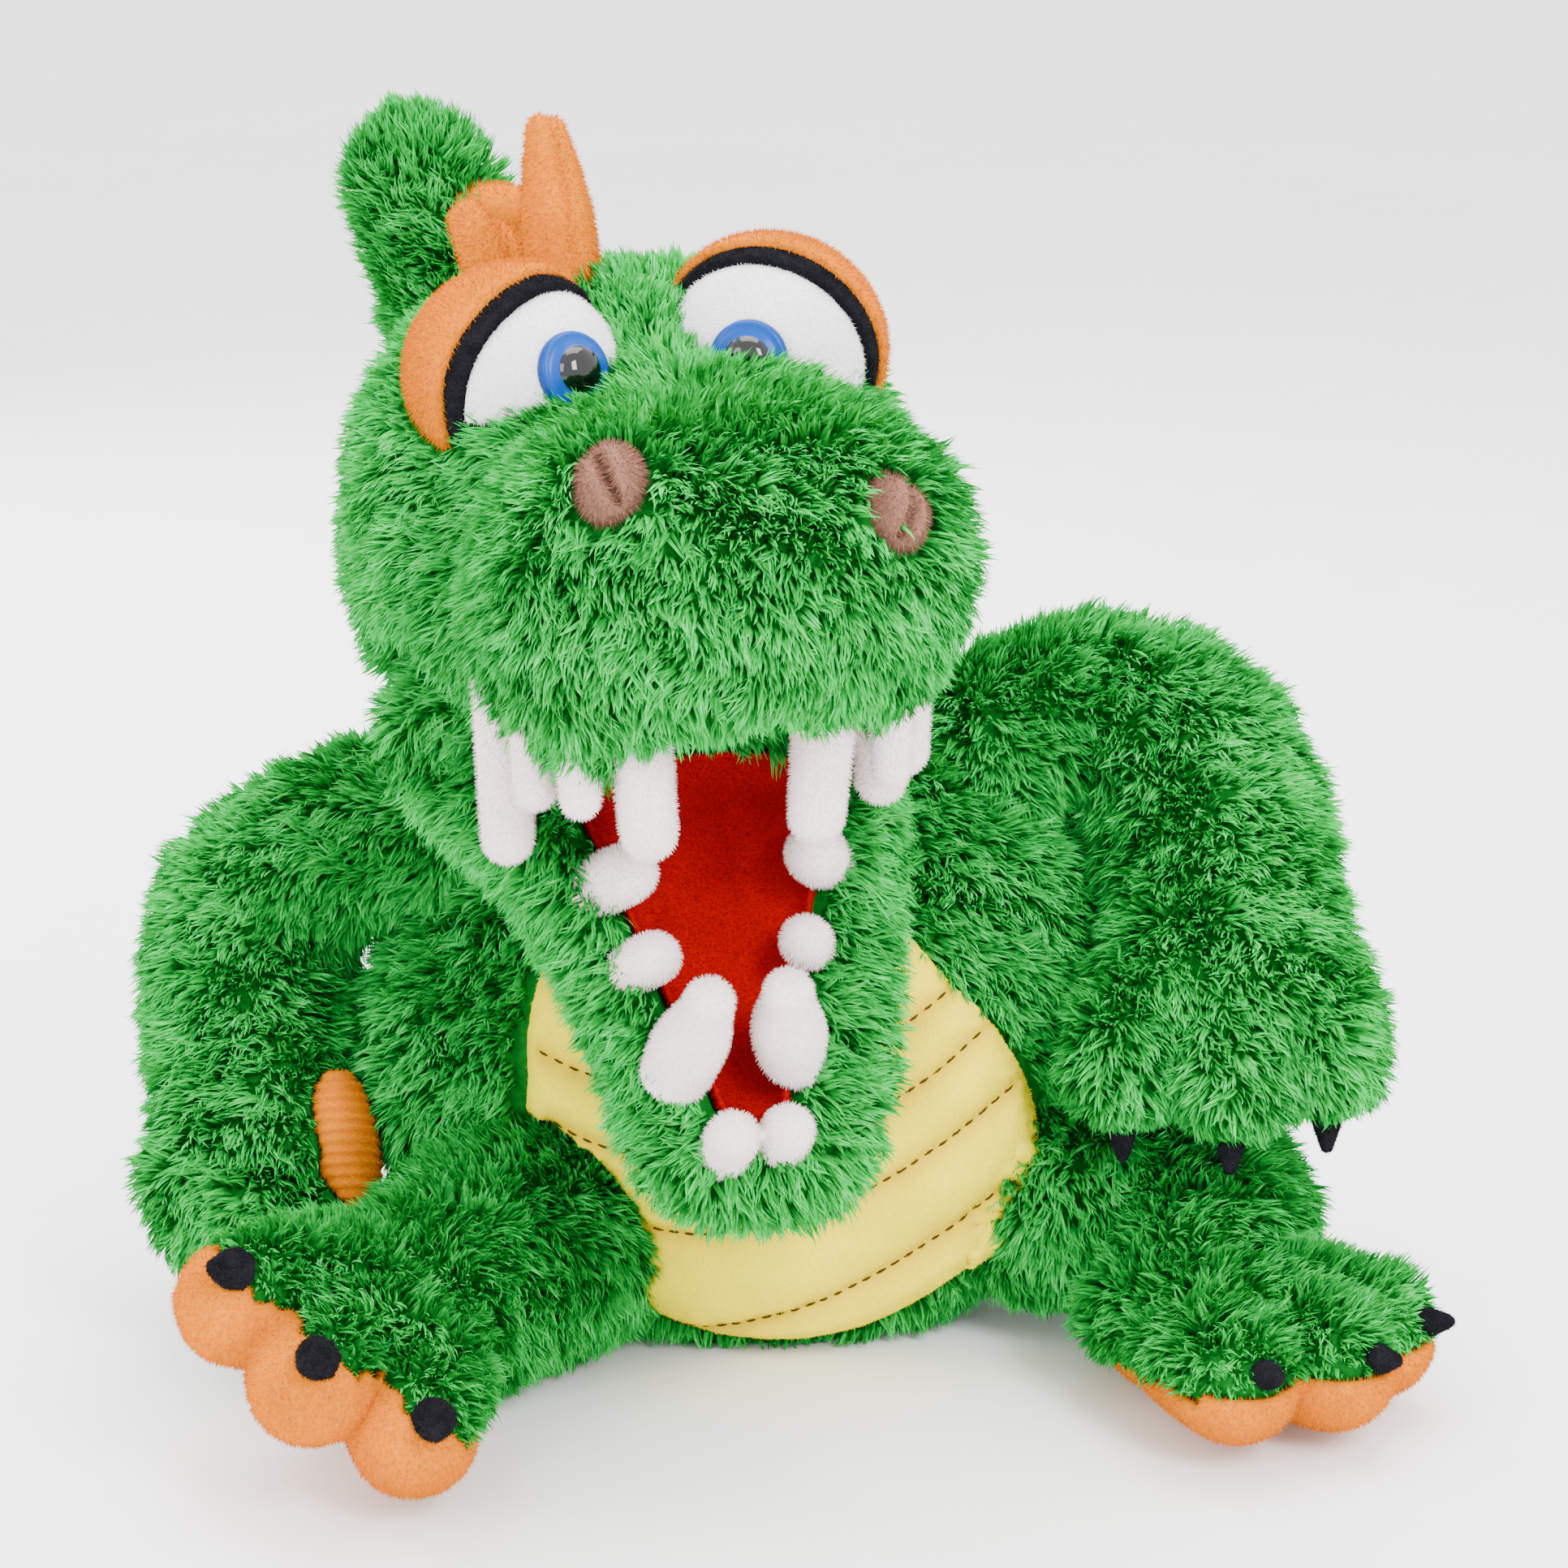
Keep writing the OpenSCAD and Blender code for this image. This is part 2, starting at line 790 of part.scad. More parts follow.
eyelid(RIGHT);  // eyelid_right
lash(LEFT);  // lash_left
lash(RIGHT);  // lash_right
crest_spike([-13, 10, 60], 48, [-6, -1, 0]);  // crest_spike_front
crest_spike([-18, 40, 50], 36, [-30, -24, 0]);  // crest_spike_rear
jaw_skin();
jaw_filling();
jaw_board();
lower_mouth_lining();
lower_fang(LEFT);  // lower_fang_left
lower_fang(RIGHT);  // lower_fang_right
lower_incisors();
lower_small_teeth(LEFT);  // lower_small_teeth_left
lower_small_teeth(RIGHT);  // lower_small_teeth_right
arm_skin(LEFT);  // arm_skin_left
arm_filling(LEFT);  // arm_filling_left
palm_pad(LEFT);  // palm_pad_left
hand_claws(LEFT);  // hand_claws_left
arm_skin(RIGHT);  // arm_skin_right
arm_filling(RIGHT);  // arm_filling_right
palm_pad(RIGHT);  // palm_pad_right
hand_claws(RIGHT);  // hand_claws_right
leg_skin(LEFT);  // leg_skin_left
leg_filling(LEFT);  // leg_filling_left
sole_pad(LEFT);  // sole_pad_left
foot_claws(LEFT);  // foot_claws_left
leg_skin(RIGHT);  // leg_skin_right
leg_filling(RIGHT);  // leg_filling_right
sole_pad(RIGHT);  // sole_pad_right
foot_claws(RIGHT);  // foot_claws_right
tail_skin();
tail_filling();
tail_spikes();
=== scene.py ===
import json
import math

import bpy
import numpy as np
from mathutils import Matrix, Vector
from mathutils.bvhtree import BVHTree

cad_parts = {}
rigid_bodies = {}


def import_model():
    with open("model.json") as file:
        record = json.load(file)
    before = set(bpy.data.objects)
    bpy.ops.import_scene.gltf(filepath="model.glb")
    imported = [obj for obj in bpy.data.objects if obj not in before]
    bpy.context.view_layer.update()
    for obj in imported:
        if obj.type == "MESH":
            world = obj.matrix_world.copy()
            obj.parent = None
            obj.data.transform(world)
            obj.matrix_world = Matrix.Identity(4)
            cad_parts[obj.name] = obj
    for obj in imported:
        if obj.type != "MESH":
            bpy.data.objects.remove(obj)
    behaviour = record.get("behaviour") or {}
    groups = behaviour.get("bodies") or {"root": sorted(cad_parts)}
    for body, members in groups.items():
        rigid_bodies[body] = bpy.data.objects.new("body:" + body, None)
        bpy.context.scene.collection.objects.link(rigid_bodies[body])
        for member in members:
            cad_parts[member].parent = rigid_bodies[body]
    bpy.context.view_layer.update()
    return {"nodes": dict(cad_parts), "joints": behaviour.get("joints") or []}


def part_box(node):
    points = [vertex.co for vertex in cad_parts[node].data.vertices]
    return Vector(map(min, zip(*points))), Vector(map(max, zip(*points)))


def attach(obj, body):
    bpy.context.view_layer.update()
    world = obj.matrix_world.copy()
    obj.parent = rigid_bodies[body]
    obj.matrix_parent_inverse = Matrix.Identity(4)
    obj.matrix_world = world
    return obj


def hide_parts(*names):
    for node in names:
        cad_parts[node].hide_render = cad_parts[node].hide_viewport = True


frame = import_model()
MM = 0.001
FAR = 1.0   # metres, more than the toy measures any way
SIDES = ("left", "right")
rng = np.random.default_rng(20)

# ---------------------------------------------------------------- camera, light, floor

CAM_TARGET = (0, -0.02, 0.17)
CAM_DISTANCE = 1.3
CAM_RISE = math.radians(15)
LIGHT_TARGET = (0, 0, 0.17)


def look_at(ob, target):
    ob.rotation_euler = (Vector(target) - ob.location).to_track_quat("-Z", "Y").to_euler()


cam = bpy.data.objects.new("camera", bpy.data.cameras.new("camera"))
cam.data.lens = 100
cam.data.sensor_width = 36
cam.location = (
    CAM_TARGET[0],
    CAM_TARGET[1] - CAM_DISTANCE * math.cos(CAM_RISE),
    CAM_TARGET[2] + CAM_DISTANCE * math.sin(CAM_RISE),
)
look_at(cam, CAM_TARGET)
bpy.context.scene.collection.objects.link(cam)
bpy.context.scene.camera = cam


def softbox(name, at, size, watts):
    lamp = bpy.data.lights.new(name, "AREA")
    lamp.shape = "RECTANGLE"
    lamp.size, lamp.size_y = size
    lamp.energy = watts
    ob = bpy.data.objects.new(name, lamp)
    ob.location = at
    look_at(ob, LIGHT_TARGET)
    bpy.context.scene.collection.objects.link(ob)


softbox("key_light", (0.75, -1.3, 1.15), (0.5, 0.7), 36)
softbox("fill_light", (-1.1, -1.0, 0.8), (0.5, 0.8), 12)
softbox("top_light", (0.0, 0.2, 1.5), (1.2, 1.0), 30)
softbox("rim_light", (-0.7, 1.1, 0.9), (0.8, 0.8), 26)

world = bpy.data.worlds.new("studio")
bpy.context.scene.world = world
world.use_nodes = True
world.node_tree.nodes["Background"].inputs["Color"].default_value = (1, 1, 1, 1)
world.node_tree.nodes["Background"].inputs["Strength"].default_value = 2.9

# ---------------------------------------------------------------- materials

PATCH_SHARE = 0.55       # of a cloth's mottling; the rest is its grain's
CLOTH_DEPTH = 0.6 * MM   # of the bumps in a cloth
PLASTIC_GRAIN, PLASTIC_DEPTH = 300, 0.2 * MM


def shade(colour, by=1.0):
    """A linear colour, darker or lighter, with its alpha."""
    return (*(min(1.0, c * by) for c in colour), 1.0)


def principled(name, colour, rough, gloss):
    mat = bpy.data.materials.new(name)
    mat.use_nodes = True
    mat.diffuse_color = shade(colour)
    shader = mat.node_tree.nodes["Principled BSDF"]
    shader.inputs["Roughness"].default_value = rough
    shader.inputs["Specular IOR Level"].default_value = gloss
    return mat, mat.node_tree, shader


def noise(tree, scale, detail):
    """Noise that is fixed to the piece."""
    coord = tree.nodes.new("ShaderNodeTexCoord")
    node = tree.nodes.new("ShaderNodeTexNoise")
    node.inputs["Scale"].default_value = scale
    node.inputs["Detail"].default_value = detail
    tree.links.new(coord.outputs["Object"], node.inputs["Vector"])
    return node.outputs["Fac"]


def scaled(tree, value, by, plus=None):
    """A value times a number, plus another value if there is one."""
    node = tree.nodes.new("ShaderNodeMath")
    node.operation = "MULTIPLY" if plus is None else "MULTIPLY_ADD"
    node.inputs[1].default_value = by
    tree.links.new(value, node.inputs[0])
    if plus is not None:
        tree.links.new(plus, node.inputs[2])
    return node.outputs[0]


def coloured(tree, shader, value, low, high, *between):
    """Colours a shader by a value. Each stop is its place on the ramp and its colour."""
    node = tree.nodes.new("ShaderNodeValToRGB")
    stops = node.color_ramp.elements
    for i, (place, colour) in enumerate((low, high)):
        stops[i].position = place
        stops[i].color = colour
    for place, colour in between:
        stops.new(place).color = colour
    tree.links.new(value, node.inputs["Fac"])
    tree.links.new(node.outputs["Color"], shader.inputs["Base Color"])


def bumped(tree, shader, height, strength, distance):
    node = tree.nodes.new("ShaderNodeBump")
    node.inputs["Strength"].default_value = strength
    node.inputs["Distance"].default_value = distance
    tree.links.new(height, node.inputs["Height"])
    tree.links.new(node.outputs["Normal"], shader.inputs["Normal"])


def strand(name, colour, sheen=0.02, gloss=0.06):
    """One tone of a pile. The pile's pattern is in its tufts, so each tone is plain."""
    mat, _, shader = principled(name, colour, 0.85, gloss)
    shader.inputs["Base Color"].default_value = shade(colour)
    shader.inputs["Sheen Weight"].default_value = sheen
    shader.inputs["Sheen Roughness"].default_value = 0.5
    shader.inputs["Sheen Tint"].default_value = shade(colour, 1.5)
    return mat


def pile_tones(name, colour, spread=0.12):
    """The two tones that a short pile's hairs are cut from."""
    return [strand(f"{name}_deep", [c * (1 - spread) for c in colour], sheen=0, gloss=0),
            strand(name, [min(1, c * (1 + spread)) for c in colour], sheen=0, gloss=0)]


def fabric(name, colour, spread=0.16, patch=60, grain=900, bump=0.35, rough=0.9, gloss=0.0):
    """Short pile cloth: large soft patches, fine grain in colour, and a napped surface."""
    mat, tree, shader = principled(name, colour, rough, gloss)
    fine = noise(tree, grain, 4)
    mottling = scaled(tree, noise(tree, patch, 3), PATCH_SHARE, scaled(tree, fine, 1 - PATCH_SHARE))
    coloured(tree, shader, mottling, (0.36, shade(colour, 1 - spread)),
             (0.64, shade(colour, 1 + spread)), (0.5, shade(colour)))
    bumped(tree, shader, fine, bump, CLOTH_DEPTH)
    return mat


def with_painted_shade(mat, attribute, colour):
    """Paints shade into a cloth: colours it towards another colour where an attribute of its mesh is high.
    """
    tree = mat.node_tree
    base = tree.nodes["Principled BSDF"].inputs["Base Color"]
    mix = tree.nodes.new("ShaderNodeMixRGB")
    shade_mask = tree.nodes.new("ShaderNodeAttribute")
    shade_mask.attribute_name = attribute
    tree.links.new(shade_mask.outputs["Fac"], mix.inputs["Fac"])
    tree.links.new(base.links[0].from_socket, mix.inputs["Color1"])
    mix.inputs["Color2"].default_value = shade(colour)
    tree.links.new(mix.outputs["Color"], base)
    return mat


def plastic(name, colour, rough, gloss=0.5):
    """Moulded plastic with a faint waviness in its gloss."""
    mat, tree, shader = principled(name, colour, rough, gloss)
    ripple = noise(tree, PLASTIC_GRAIN, 2)
    coloured(tree, shader, ripple, (0, shade(colour, 0.85)), (1, shade(colour)))
    bumped(tree, shader, ripple, 0.08, PLASTIC_DEPTH)
    return mat


# tones of the long pile: the darker ones go to the roots as painted shade, the lighter ones to the tips as
# painted light
GREENS = [
    strand("green_root", (0.001, 0.100, 0.010)),
    strand("green_dark", (0.002, 0.210, 0.021)),
    strand("green_mid", (0.004, 0.310, 0.036)),
    strand("green_light", (0.013, 0.410, 0.054)),
    strand("green_tip", (0.042, 0.500, 0.090)),
]
ORANGE, YELLOW, RED = (0.55, 0.145, 0.000), (0.82, 0.670, 0.000), (0.26, 0.000, 0.001)
WHITE, TOOTH = (0.80, 0.75, 0.775), (0.78, 0.68, 0.66)
NOSE, BLACK, FELT_HAIR = (0.200, 0.095, 0.065), (0.008, 0.008, 0.010), (0.014, 0.014, 0.016)
# painted shade: the darker amber that the belly cloth is coloured along its seams, in the grooves' shade
YELLOW_SEAM_SHADE = (0.48, 0.24, 0.0)
YELLOW_MINKY = fabric("yellow_minky", YELLOW, 0.1, patch=40, bump=0.2)
CLOTHS = {   # by slot: the cloth of its pieces, and the tones of their short hairs
    "green_plush": (fabric("green_backing", (0.002, 0.10, 0.010), 0.3, grain=500, bump=0.8), ()),
    "orange_plush": (fabric("orange_pile", ORANGE), pile_tones("orange_nap", ORANGE)),
    # the belly's minky, with painted shade along its seams
    "yellow_minky": (with_painted_shade(YELLOW_MINKY, "painted_seam_shade", YELLOW_SEAM_SHADE), pile_tones("yellow_nap", YELLOW, 0.08)),
    "eyeball_plush": (fabric("white_pile", WHITE, 0.05), pile_tones("white_nap", WHITE, 0.05)),
    "tooth_plush": (fabric("tooth_pile", TOOTH, 0.06), pile_tones("tooth_nap", TOOTH, 0.06)),
    "red_plush": (fabric("red_pile", RED, 0.2), pile_tones("red_nap", RED, 0.2)),
    "nostril_plush": (fabric("nostril_pile", NOSE, 0.2), pile_tones("nostril_nap", NOSE, 0.25)),
    "black_felt": (fabric("black_felt", BLACK, 0.4, patch=200, grain=1500, bump=0.6),
                   pile_tones("felt_nap", FELT_HAIR, 0.4)),
}
THREAD = fabric("brown_thread", (0.06, 0.035, 0.008), 0.3, patch=400, grain=2500)
PELLETS = fabric("cotton_bag", (0.48, 0.38, 0.22), 0.15, grain=1800)
SHEET = plastic("flexible_sheet", (0.76, 0.73, 0.63), 0.55)
WASHER = plastic("washer_plastic", (0.02, 0.02, 0.023), 0.45)
IRIS = plastic("iris_plastic", (0.001, 0.052, 0.30), 0.25, gloss=0.12)
IRIS_RIM = plastic("iris_rim_plastic", (0.001, 0.035, 0.22), 0.25, gloss=0.12)
PUPIL = plastic("pupil_plastic", (0.002, 0.002, 0.003), 0.05)
FLOOR = fabric("pale_floor", (0.92, 0.92, 0.92), 0.02, patch=3, grain=30, bump=0.02, rough=0.7, gloss=0.08)

# ---------------------------------------------------------------- meshes in arrays

WELD = 2e-6                # metres: points closer than this are one
SMOOTHING = (0.5, -0.52)   # a step that smooths, then one back out that keeps the volume


def arrays(me):
    me.calc_loop_triangles()
    v = np.empty(len(me.vertices) * 3)
    me.vertices.foreach_get("co", v)
    t = np.empty(len(me.loop_triangles) * 3, np.int32)
    me.loop_triangles.foreach_get("vertices", t)
    return v.reshape(-1, 3), t.reshape(-1, 3)


def outer(node):
    """The outer surfaces of a CAD node, welded, without their hollows."""
    v, t = arrays(frame["nodes"][node].data)
    _, first, back = np.unique(np.round(v / WELD).astype(np.int64), axis=0,
                               return_index=True, return_inverse=True)
    v, t = v[first], back.ravel()[t]
    t = t[(t[:, 0] != t[:, 1]) & (t[:, 1] != t[:, 2]) & (t[:, 0] != t[:, 2])]
    label = np.arange(len(v))
    while True:
        low = label[t].min(1)
        new = label.copy()
        for k in range(3):
            np.minimum.at(new, t[:, k], low)
        new = new[new]
        if (new == label).all():
            break
        label = new
    part = label[t[:, 0]]
    volume = np.einsum("ij,ij->i", v[t[:, 0]], np.cross(v[t[:, 1]], v[t[:, 2]]))
    t = np.vstack([t[part == p] for p in np.unique(part) if volume[part == p].sum() > 0])
    used, back = np.unique(t, return_inverse=True)
    return v[used], back.reshape(-1, 3)


def build(name, v, loops, sizes, index=None, mats=()):
    """A mesh object from flat arrays. sizes is the number of corners of each face."""
    me = bpy.data.meshes.new(name)
    me.vertices.add(len(v))
    me.vertices.foreach_set("co", np.ascontiguousarray(v, np.float32).ravel())
    me.loops.add(len(loops))
    me.loops.foreach_set("vertex_index", np.ascontiguousarray(loops, np.int32))
    me.polygons.add(len(sizes))
    me.polygons.foreach_set("loop_start", np.concatenate([[0], np.cumsum(sizes)[:-1]]).astype(np.int32))
    if index is not None:
        me.polygons.foreach_set("material_index", np.ascontiguousarray(index, np.int32))
    me.update(calc_edges=True)
    me.shade_smooth()
    ob = bpy.data.objects.new(name, me)
    bpy.context.scene.collection.objects.link(ob)
    for m in mats:
        me.materials.append(m)
    return ob


def build_faces(name, v, faces, index=None, mats=()):
    return build(name, v, np.concatenate(faces), [len(f) for f in faces], index, mats)


def tube(rings, sides, first=0):
    """The faces of a closed tube, from the numbers of its points, ring after ring."""
    rows = [[first + k * sides + a for a in range(sides)] for k in range(rings)]
    faces = [[low[a], low[a + 1 - sides], high[a + 1 - sides], high[a]]
             for low, high in zip(rows, rows[1:]) for a in range(sides)]
    return faces + [rows[0][::-1], rows[-1]]


def points(ob):
    v = np.empty(len(ob.data.vertices) * 3)
    ob.data.vertices.foreach_get("co", v)
    return v.reshape(-1, 3)


def put(ob, v):
    ob.data.vertices.foreach_set("co", np.ascontiguousarray(v, np.float32).ravel())
    ob.data.update()


def normals(ob):
    n = np.empty(len(ob.data.vertices) * 3)
    ob.data.vertex_normals.foreach_get("vector", n)
    return n.reshape(-1, 3)


def edges(ob):
    e = np.empty(len(ob.data.edges) * 2, np.int32)
    ob.data.edges.foreach_get("vertices", e)
    return e.reshape(-1, 2)


def relax(ob, times):
    """Smooths a mesh and keeps its volume."""
    v, e = points(ob), edges(ob)
    degree = np.maximum(np.bincount(e.ravel(), minlength=len(v)), 1)[:, None]
    for step in SMOOTHING * times:
        mean = np.zeros_like(v)
        for k in range(3):
            mean[:, k] = np.bincount(e[:, 0], v[e[:, 1], k], len(v))
            mean[:, k] += np.bincount(e[:, 1], v[e[:, 0], k], len(v))
        v = v + step * (mean / degree - v)
    put(ob, v)


def evaluated(ob):
    return ob.evaluated_get(bpy.context.evaluated_depsgraph_get())


def apply_modifiers(ob):
    new = bpy.data.meshes.new_from_object(evaluated(ob))
    ob.modifiers.clear()
    ob.data = new


def remeshed(name, node, voxel):
    """A CAD node's outer surfaces as one even mesh."""
    v, t = outer(node)
    ob = build(name, v, t.ravel(), np.full(len(t), 3))
    mod = ob.modifiers.new("remesh", "REMESH")
    mod.mode = "VOXEL"
    mod.voxel_size = voxel
    mod.use_smooth_shade = True
    apply_modifiers(ob)
    return ob


def grow(ob, by):
    """Moves each point along its normal. by is a number or one number a point."""
    v = points(ob)
    put(ob, v + normals(ob) * np.reshape(by, (-1, 1)))


def tree_of(*obs):
    v, t, n = [], [], 0
    for ob in obs:
        a, b = arrays(ob.data)
        v.append(a)
        t.append(b + n)
        n += len(a)
    return BVHTree.FromPolygons(np.vstack(v).tolist(), np.vstack(t).tolist())


def cad_tree(*nodes):
    return tree_of(*[frame["nodes"][n] for n in nodes])


def distances(tree, v):
    out = np.full(len(v), FAR)
    for i, p in enumerate(v):
        hit = tree.find_nearest(p, FAR)
        if hit[0] is not None:
            out[i] = hit[3]
    return out


def from_front(tree, x, z):
    """Where a line from in front of the toy meets a piece, or None."""
    return tree.ray_cast((x, -0.3, z), (0, 1, 0))[0]


def bump_at(v, centre, radius):
    """A soft hill, 1 at the centre."""
    d = np.linalg.norm(v - np.asarray(centre), axis=1)
    return np.exp(-(d / radius) ** 2)


def ease(x, a, b):
    t = np.clip((x - a) / (b - a), 0, 1)
    return t * t * (3 - 2 * t)


def unit(a):
    return a / np.maximum(np.linalg.norm(a, axis=-1, keepdims=True), 1e-12)


def wave(p, size, seed):
    """A smooth random field over space, about -1 to 1."""
    r = np.random.default_rng(seed)
    total = np.zeros(len(p))
    for k in range(5):
        way = unit(r.normal(size=3))
        total += np.sin(p @ way * (2 * math.pi / size) * (1 + 0.5 * k) + r.uniform(0, 2 * math.pi))
    return total / 2.4


# ---------------------------------------------------------------- places

joints = {j["name"]: j for j in frame["joints"]}
HINGE = np.array(joints["jaw_hinge"]["pos_m"])
HEAD_X = np.array(joints["jaw_hinge"]["axis"])
HEAD_Y = np.cross((0, 0, 1), HEAD_X)
HEAD_Y /= np.linalg.norm(HEAD_Y)
HEAD_Z = np.cross(HEAD_X, HEAD_Y)
HEAD_O = HINGE + 0.032 * HEAD_Y + 0.050 * HEAD_Z   # the origin of the head's frame
JAW_OPEN = math.radians(60)
JAW_Y = math.cos(JAW_OPEN) * HEAD_Y + math.sin(JAW_OPEN) * HEAD_Z
JAW_Z = -math.sin(JAW_OPEN) * HEAD_Y + math.cos(JAW_OPEN) * HEAD_Z


def head_point(x, y, z):
    """Where a place given in the head's frame, in millimetres, is in the shared frame."""
    return HEAD_O + (x * HEAD_X + y * HEAD_Y + z * HEAD_Z) * MM


def head_way(x, y, z):
    """Where a direction given in the head's frame points in the shared frame."""
    return unit(x * HEAD_X + y * HEAD_Y + z * HEAD_Z)


def in_head(v):
    """Points of the shared frame in the head's frame, in millimetres."""
    d = (v - HEAD_O) / MM
    return d @ HEAD_X, d @ HEAD_Y, d @ HEAD_Z


def node_mid(node):
    lo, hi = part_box(node)
    return np.array((lo + hi) / 2)


# ---------------------------------------------------------------- making a piece

HELD_STILL, HELD_FREE = 5 * MM, 14 * MM   # from a sewn-on piece: no swelling, full swelling


def dress(ob, material):
    ob.data.materials.clear()
    ob.data.materials.append(material)


def finish_piece(ob, body, nodes, slot):
    dress(ob, CLOTHS[slot][0])
    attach(ob, body)
    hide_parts(*nodes)


def inflate(ob, pressure, cap, held=(), frames=14):
    """Cloth simulation: the cover swells under the pressure of its filling, but not where
    other CAD pieces are sewn to it."""
    before = points(ob)
    mod = ob.modifiers.new("cloth", "CLOTH")
    cloth = mod.settings
    cloth.quality = 4
    cloth.mass = 0.2
    cloth.tension_stiffness = cloth.compression_stiffness = 12
    cloth.shear_stiffness = 4
    cloth.bending_stiffness = 0.6
    cloth.use_pressure = True
    cloth.uniform_pressure_force = pressure
    cloth.effector_weights.gravity = 0
    mod.collision_settings.use_collision = False
    scene = bpy.context.scene
    for f in range(1, frames + 1):
        scene.frame_set(f)
    move = points(evaluated(ob)) - before
    far = np.linalg.norm(move, axis=1, keepdims=True)
    move *= np.minimum(1, cap / np.maximum(far, 1e-9))
    if held:
        move *= ease(distances(cad_tree(*held), before), HELD_STILL, HELD_FREE)[:, None]
    ob.modifiers.clear()
    scene.frame_set(1)
    put(ob, before + move)


# ---------------------------------------------------------------- padded covers

TORSO_HILLS = (   # place, height and radius in millimetres
    ((-105, -10, 85), 19, 40),   # the side that slumps against the left arm
    ((-100, -30, 62), 7, 28),
    ((90, -20, 110), 5, 35),     # the side behind the right arm
    ((75, -10, 150), 6, 30),
)
HEAD_HILLS = (   # place in the head's frame, height and radius in millimetres
    ((-38, -118, 22), 6.5, 19),   # mounds round the nostrils
    ((36, -120, 12), 6.5, 19),
    ((-74, -34, -22), 4, 26),     # cheeks
    ((74, -34, -22), 4, 26),
    ((-60, -52, 12), -8, 22),     # hollows below the eyes
    ((66, -48, 14), -4, 20),
    ((22, -66, 34), 6, 20),       # the bridge of the nose, in front of the right eye
)
CREASE_DEPTH, CREASE_WIDTH = 5.0, 7
LIP_SAG, LIP_TILT = 14.5, 6.5   # the upper lip sags over the teeth's roots, more on the left
SET_IN_HEAD = ["upper_mouth_lining", "crest_spike_front", "crest_spike_rear"]
SET_IN_HEAD += [f"{n}_{s}" for n in ("nostril", "eyeball", "eyelid") for s in SIDES]


def cover(name, node, held, voxel=4 * MM, smooth=6, shrink=1.5 * MM):
    ob = remeshed(name, node, voxel)
    relax(ob, smooth)
    grow(ob, -shrink)
    inflate(ob, 4, 4 * MM, held)
    relax(ob, 2)
    return ob


torso = cover("torso_plush", "torso_skin", ["belly_panel", "back_spikes"], voxel=5 * MM)
v = points(torso)
grow(torso, sum(up * MM * bump_at(v, np.array(at) * MM, r * MM) for at, up, r in TORSO_HILLS))
finish_piece(torso, "torso", ["torso_skin", "torso_filling"], "green_plush")

head = cover("head_plush", "head_skin", SET_IN_HEAD, smooth=8)
v = points(head)
x, y, z = in_head(v)
rise = sum(up * bump_at(v, head_point(*at), r * MM) for at, up, r in HEAD_HILLS)
# a crease round the muzzle, in front of the cheeks
crease = np.exp(-((y + 66 + 0.1 * z) / CREASE_WIDTH) ** 2) * ease(np.abs(x), 46, 60) * (1 - ease(z, 5, 30))
rise -= CREASE_DEPTH * crease
grow(head, rise * MM)
v = points(head)
x, y, z = in_head(v)
lip = (1 - ease(z, -46, -22)) * ease(np.abs(x), 22, 52) * (1 - ease(y, -62, -40)) * ease(y, -140, -118)
put(head, v - HEAD_Z * ((LIP_SAG - LIP_TILT * np.sign(x)) * MM * lip)[:, None])
relax(head, 1)
finish_piece(head, "head", ["head_skin", "head_filling"], "green_plush")

jaw = cover("jaw_plush", "jaw_skin", ["lower_mouth_lining"], voxel=3.5 * MM, smooth=5)
finish_piece(jaw, "jaw", ["jaw_skin", "jaw_filling"], "green_plush")

arms, legs = {}, {}
for side in SIDES:
    arms[side] = cover(f"arm_plush_{side}", f"arm_skin_{side}", [f"palm_pad_{side}"])
    finish_piece(arms[side], f"arm_{side}", [f"arm_skin_{side}", f"arm_filling_{side}"],
                 "green_plush")
    legs[side] = cover(f"leg_plush_{side}", f"leg_filling_{side}", [f"sole_pad_{side}"],
                       voxel=3.5 * MM, shrink=0)
    grow(legs[side], 2 * MM)

tail = cover("tail_plush", "tail_skin", ["tail_spikes"])
finish_piece(tail, "tail", ["tail_skin", "tail_filling"], "green_plush")

# ---------------------------------------------------------------- soles, sewn on under the feet

SOLE_RIM = 4 * MM                # the sole rounds off this far from its edge
SOLE_DOME, SOLE_SINK = 2.2, 0.4  # millimetres: crown of the sole, and how deep its edge lies
SOLE_BACK = 2.2                  # millimetres from the leg's surface to the sole's hidden face
LEG_BACK = 2.4 * MM              # the leg's cloth goes back this far behind the sole

